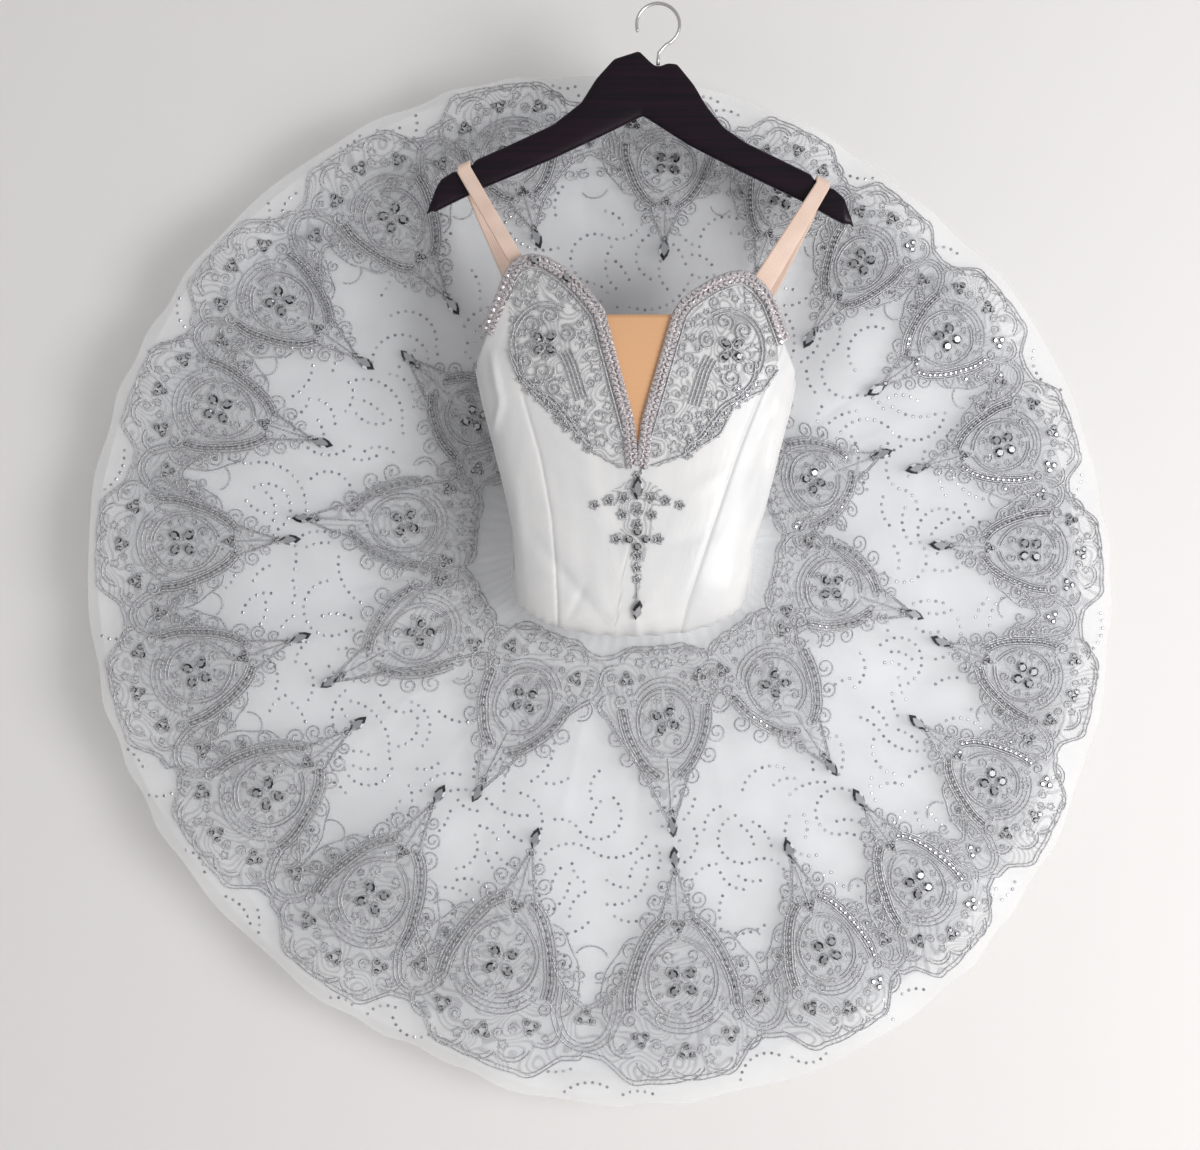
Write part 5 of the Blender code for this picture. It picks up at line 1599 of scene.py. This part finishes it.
hanger = {
    # x, z of the upper edge, then of the lower edge
    "top": (
        (-0.2228, -0.2010), (-0.2195, -0.1880), (-0.2100, -0.1690), (-0.1960, -0.1600), (-0.1940, -0.1620),
        (-0.1790, -0.1550), (-0.1765, -0.1500), (-0.1428, -0.1350), (-0.1013, -0.1157), (-0.0743, -0.0945),
        (-0.0598, -0.0714), (-0.0424, -0.0521), (-0.0183, -0.0444), (-0.0070, -0.0555), (-0.0028, -0.0588),
        (0.0028, -0.0588), (0.0090, -0.0562), (0.0183, -0.0569), (0.0347, -0.0772), (0.0463, -0.0974),
        (0.0637, -0.1186), (0.0849, -0.1331), (0.1480, -0.1640), (0.1500, -0.1690), (0.1660, -0.1770),
        (0.1680, -0.1765), (0.1794, -0.1862), (0.1862, -0.2016), (0.1881, -0.2130),
    ),
    "bottom": (
        (-0.2228, -0.2035), (-0.2035, -0.1939), (-0.1678, -0.1765), (-0.1013, -0.1485), (-0.0559, -0.1273),
        (-0.0145, -0.1071), (0.0289, -0.1350), (0.0839, -0.1630), (0.1379, -0.1890), (0.1707, -0.2074),
        (0.1881, -0.2161),
    ),
    "halfDepth": 0.0060,
    "sides": 24,
    "stations": 150,
    "power": 3.4,
}


def makeHanger():
    stations, sides = hanger["stations"], hanger["sides"]
    low, high = hanger["top"][0][0], hanger["top"][-1][0]
    rings = []
    for station in range(stations + 1):
        x = low + (high - low) * station / stations
        near = [x + step * 0.0007 for step in (-2, -1, 0, 1, 2)]
        top = sum(readTable(hanger["top"], place) for place in near) / 5
        bottom = sum(readTable(hanger["bottom"], place) for place in near) / 5
        end = min(1.0, 0.35 + 0.65 * min(station, stations - station) / 3)
        middle, half = (top + bottom) / 2, (top - bottom) / 2 * end
        ring = []
        for side in range(sides):
            turn = 2 * math.pi * side / sides
            ring.append((x, hanger["halfDepth"] * end * signedPower(math.cos(turn), 2 / hanger["power"]),
                         middle + half * signedPower(math.sin(turn), 2 / hanger["power"])))
        rings.append(ring)
    return tubeMesh("lacquered_hanger", rings, lacquer)


def tubeMesh(name, rings, material):
    sides = len(rings[0])
    points = [point for ring in rings for point in ring]
    faces = [list(range(sides)), [len(points) - 1 - side for side in range(sides)]]
    for station in range(len(rings) - 1):
        first = station * sides
        for side in range(sides):
            after = (side + 1) % sides
            faces.append([first + side, first + after, first + after + sides, first + side + sides])
    return closedMesh(name, points, faces, material)


hook = {"rod": 0.0017, "inner": 0.0190, "footZ": -0.0582, "start": -68.0, "end": 200.0, "sides": 16}


def makeHook():
    radius = hook["inner"] + hook["rod"]
    path = [Vector((0.0, 0.0, hook["footZ"])), Vector((0.0, 0.0, hook["footZ"] + 0.006)),
            Vector((0.0005, 0.0, hook["footZ"] + 0.012))]
    for step in range(57):
        turn = math.radians(hook["start"] + (hook["end"] - hook["start"]) * step / 56)
        path.append(Vector((radius * math.cos(turn), 0.0, -hook["inner"] + radius * math.sin(turn))))
    rings = []
    for index, place in enumerate(path):
        run = (path[min(index + 1, len(path) - 1)] - path[max(index - 1, 0)]).normalized()
        across = Vector((0.0, 1.0, 0.0)).cross(run)
        size = hook["rod"] * (0.6 if index == len(path) - 1 else 1.0)
        rings.append([place + (across * math.cos(2 * math.pi * s / hook["sides"])
                               + Vector((0.0, 1.0, 0.0)) * math.sin(2 * math.pi * s / hook["sides"])) * size
                      for s in range(hook["sides"])])
    return tubeMesh("hanger_wire_hook", rings, nickel)


finishPiece(makeHanger(), "dark_lacquered_wood", "hanger_body")
finishPiece(makeHook(), "plated_steel", "hanger_hook")
print("knickers, straps and hanger made")

# Sequins

sequinLines = {"size": 0.0034, "pitch": 0.0076, "apart": 0.0088, "starts": 9000, "seed": 11}


def crowded(grid, place, reach, own):
    # whether another line runs within reach
    cx, cz = int(place[0] // reach), int(place[1] // reach)
    for dx in (-1, 0, 1):
        for dz in (-1, 0, 1):
            for other, tag in grid.get((cx + dx, cz + dz), ()):
                if tag != own and math.dist(other, place) < reach:
                    return True
    return False


def plateShare(x, z):
    # angle and share of a place on the plate
    angle = math.degrees(math.atan2(x - plate["rimCentre"].x, -(z - plate["rimCentre"].z))) % 360.0
    for _ in range(3):
        hip, rim = platePoint(angle, 0.0), platePoint(angle, 1.0)
        run = Vector((rim.x - hip.x, rim.z - hip.z))
        reach = Vector((x - hip.x, z - hip.z))
        share = reach.dot(run) / run.length_squared
        side = reach.cross(run) / run.length
        angle = (angle + math.degrees(side / max(0.05, reach.length)) * 0.6) % 360.0
    return angle, share


def sequinPlaces():
    rng = random.Random(sequinLines["seed"])
    cell = sequinLines["apart"]
    grid, dots = {}, []
    for line in range(sequinLines["starts"]):
        turn, reach = rng.uniform(0, 2 * math.pi), math.sqrt(rng.uniform(0.05, 1.0)) * 0.512
        x = plate["rimCentre"].x + reach * math.sin(turn)
        z = plate["rimCentre"].z - reach * math.cos(turn)
        heading = rng.uniform(0, 2 * math.pi)
        bend = rng.choice((-1, 1)) * rng.uniform(0.16, 0.34)
        swing = rng.uniform(9, 16)
        path = []
        for step in range(rng.randint(14, 60)):
            if step % int(swing) == int(swing) - 1:
                bend = -bend * rng.uniform(0.8, 1.2)
            angle, share = plateShare(x, z)
            tip, base = groundEdges(angle, outerMotifs, outerValley, False)
            innerTip = groundEdges(angle, innerMotifs, innerValley, True)[0]
            free = innerTip + 0.02 < share < tip - 0.02 or base + 0.004 < share < 0.985
            if not free or crowded(grid, (x, z), cell, line):
                break
            path.append((x, z))
            heading += bend
            x += sequinLines["pitch"] * math.cos(heading)
            z += sequinLines["pitch"] * math.sin(heading)
        if len(path) < 4:
            continue
        for place in path:
            grid.setdefault((int(place[0] // cell), int(place[1] // cell)), []).append((place, line))
        dots += path
    return dots


dots = sequinPlaces()
sequins = runTree("sequin_dots", dots, [], {
    "size": [sequinLines["size"]] * len(dots),
    "turn": [0.3 * (index % 5) for index in range(len(dots))],
    "rise": [0.0006] * len(dots),
}, stoneTree, {"Cloth": overlay, "Stone": sequin, "Finish": sequinFoil})
finishPiece(sequins, "crystal_bead_trim")

for source in (roundStone, navette, sequin):
    bpy.data.objects.remove(source)
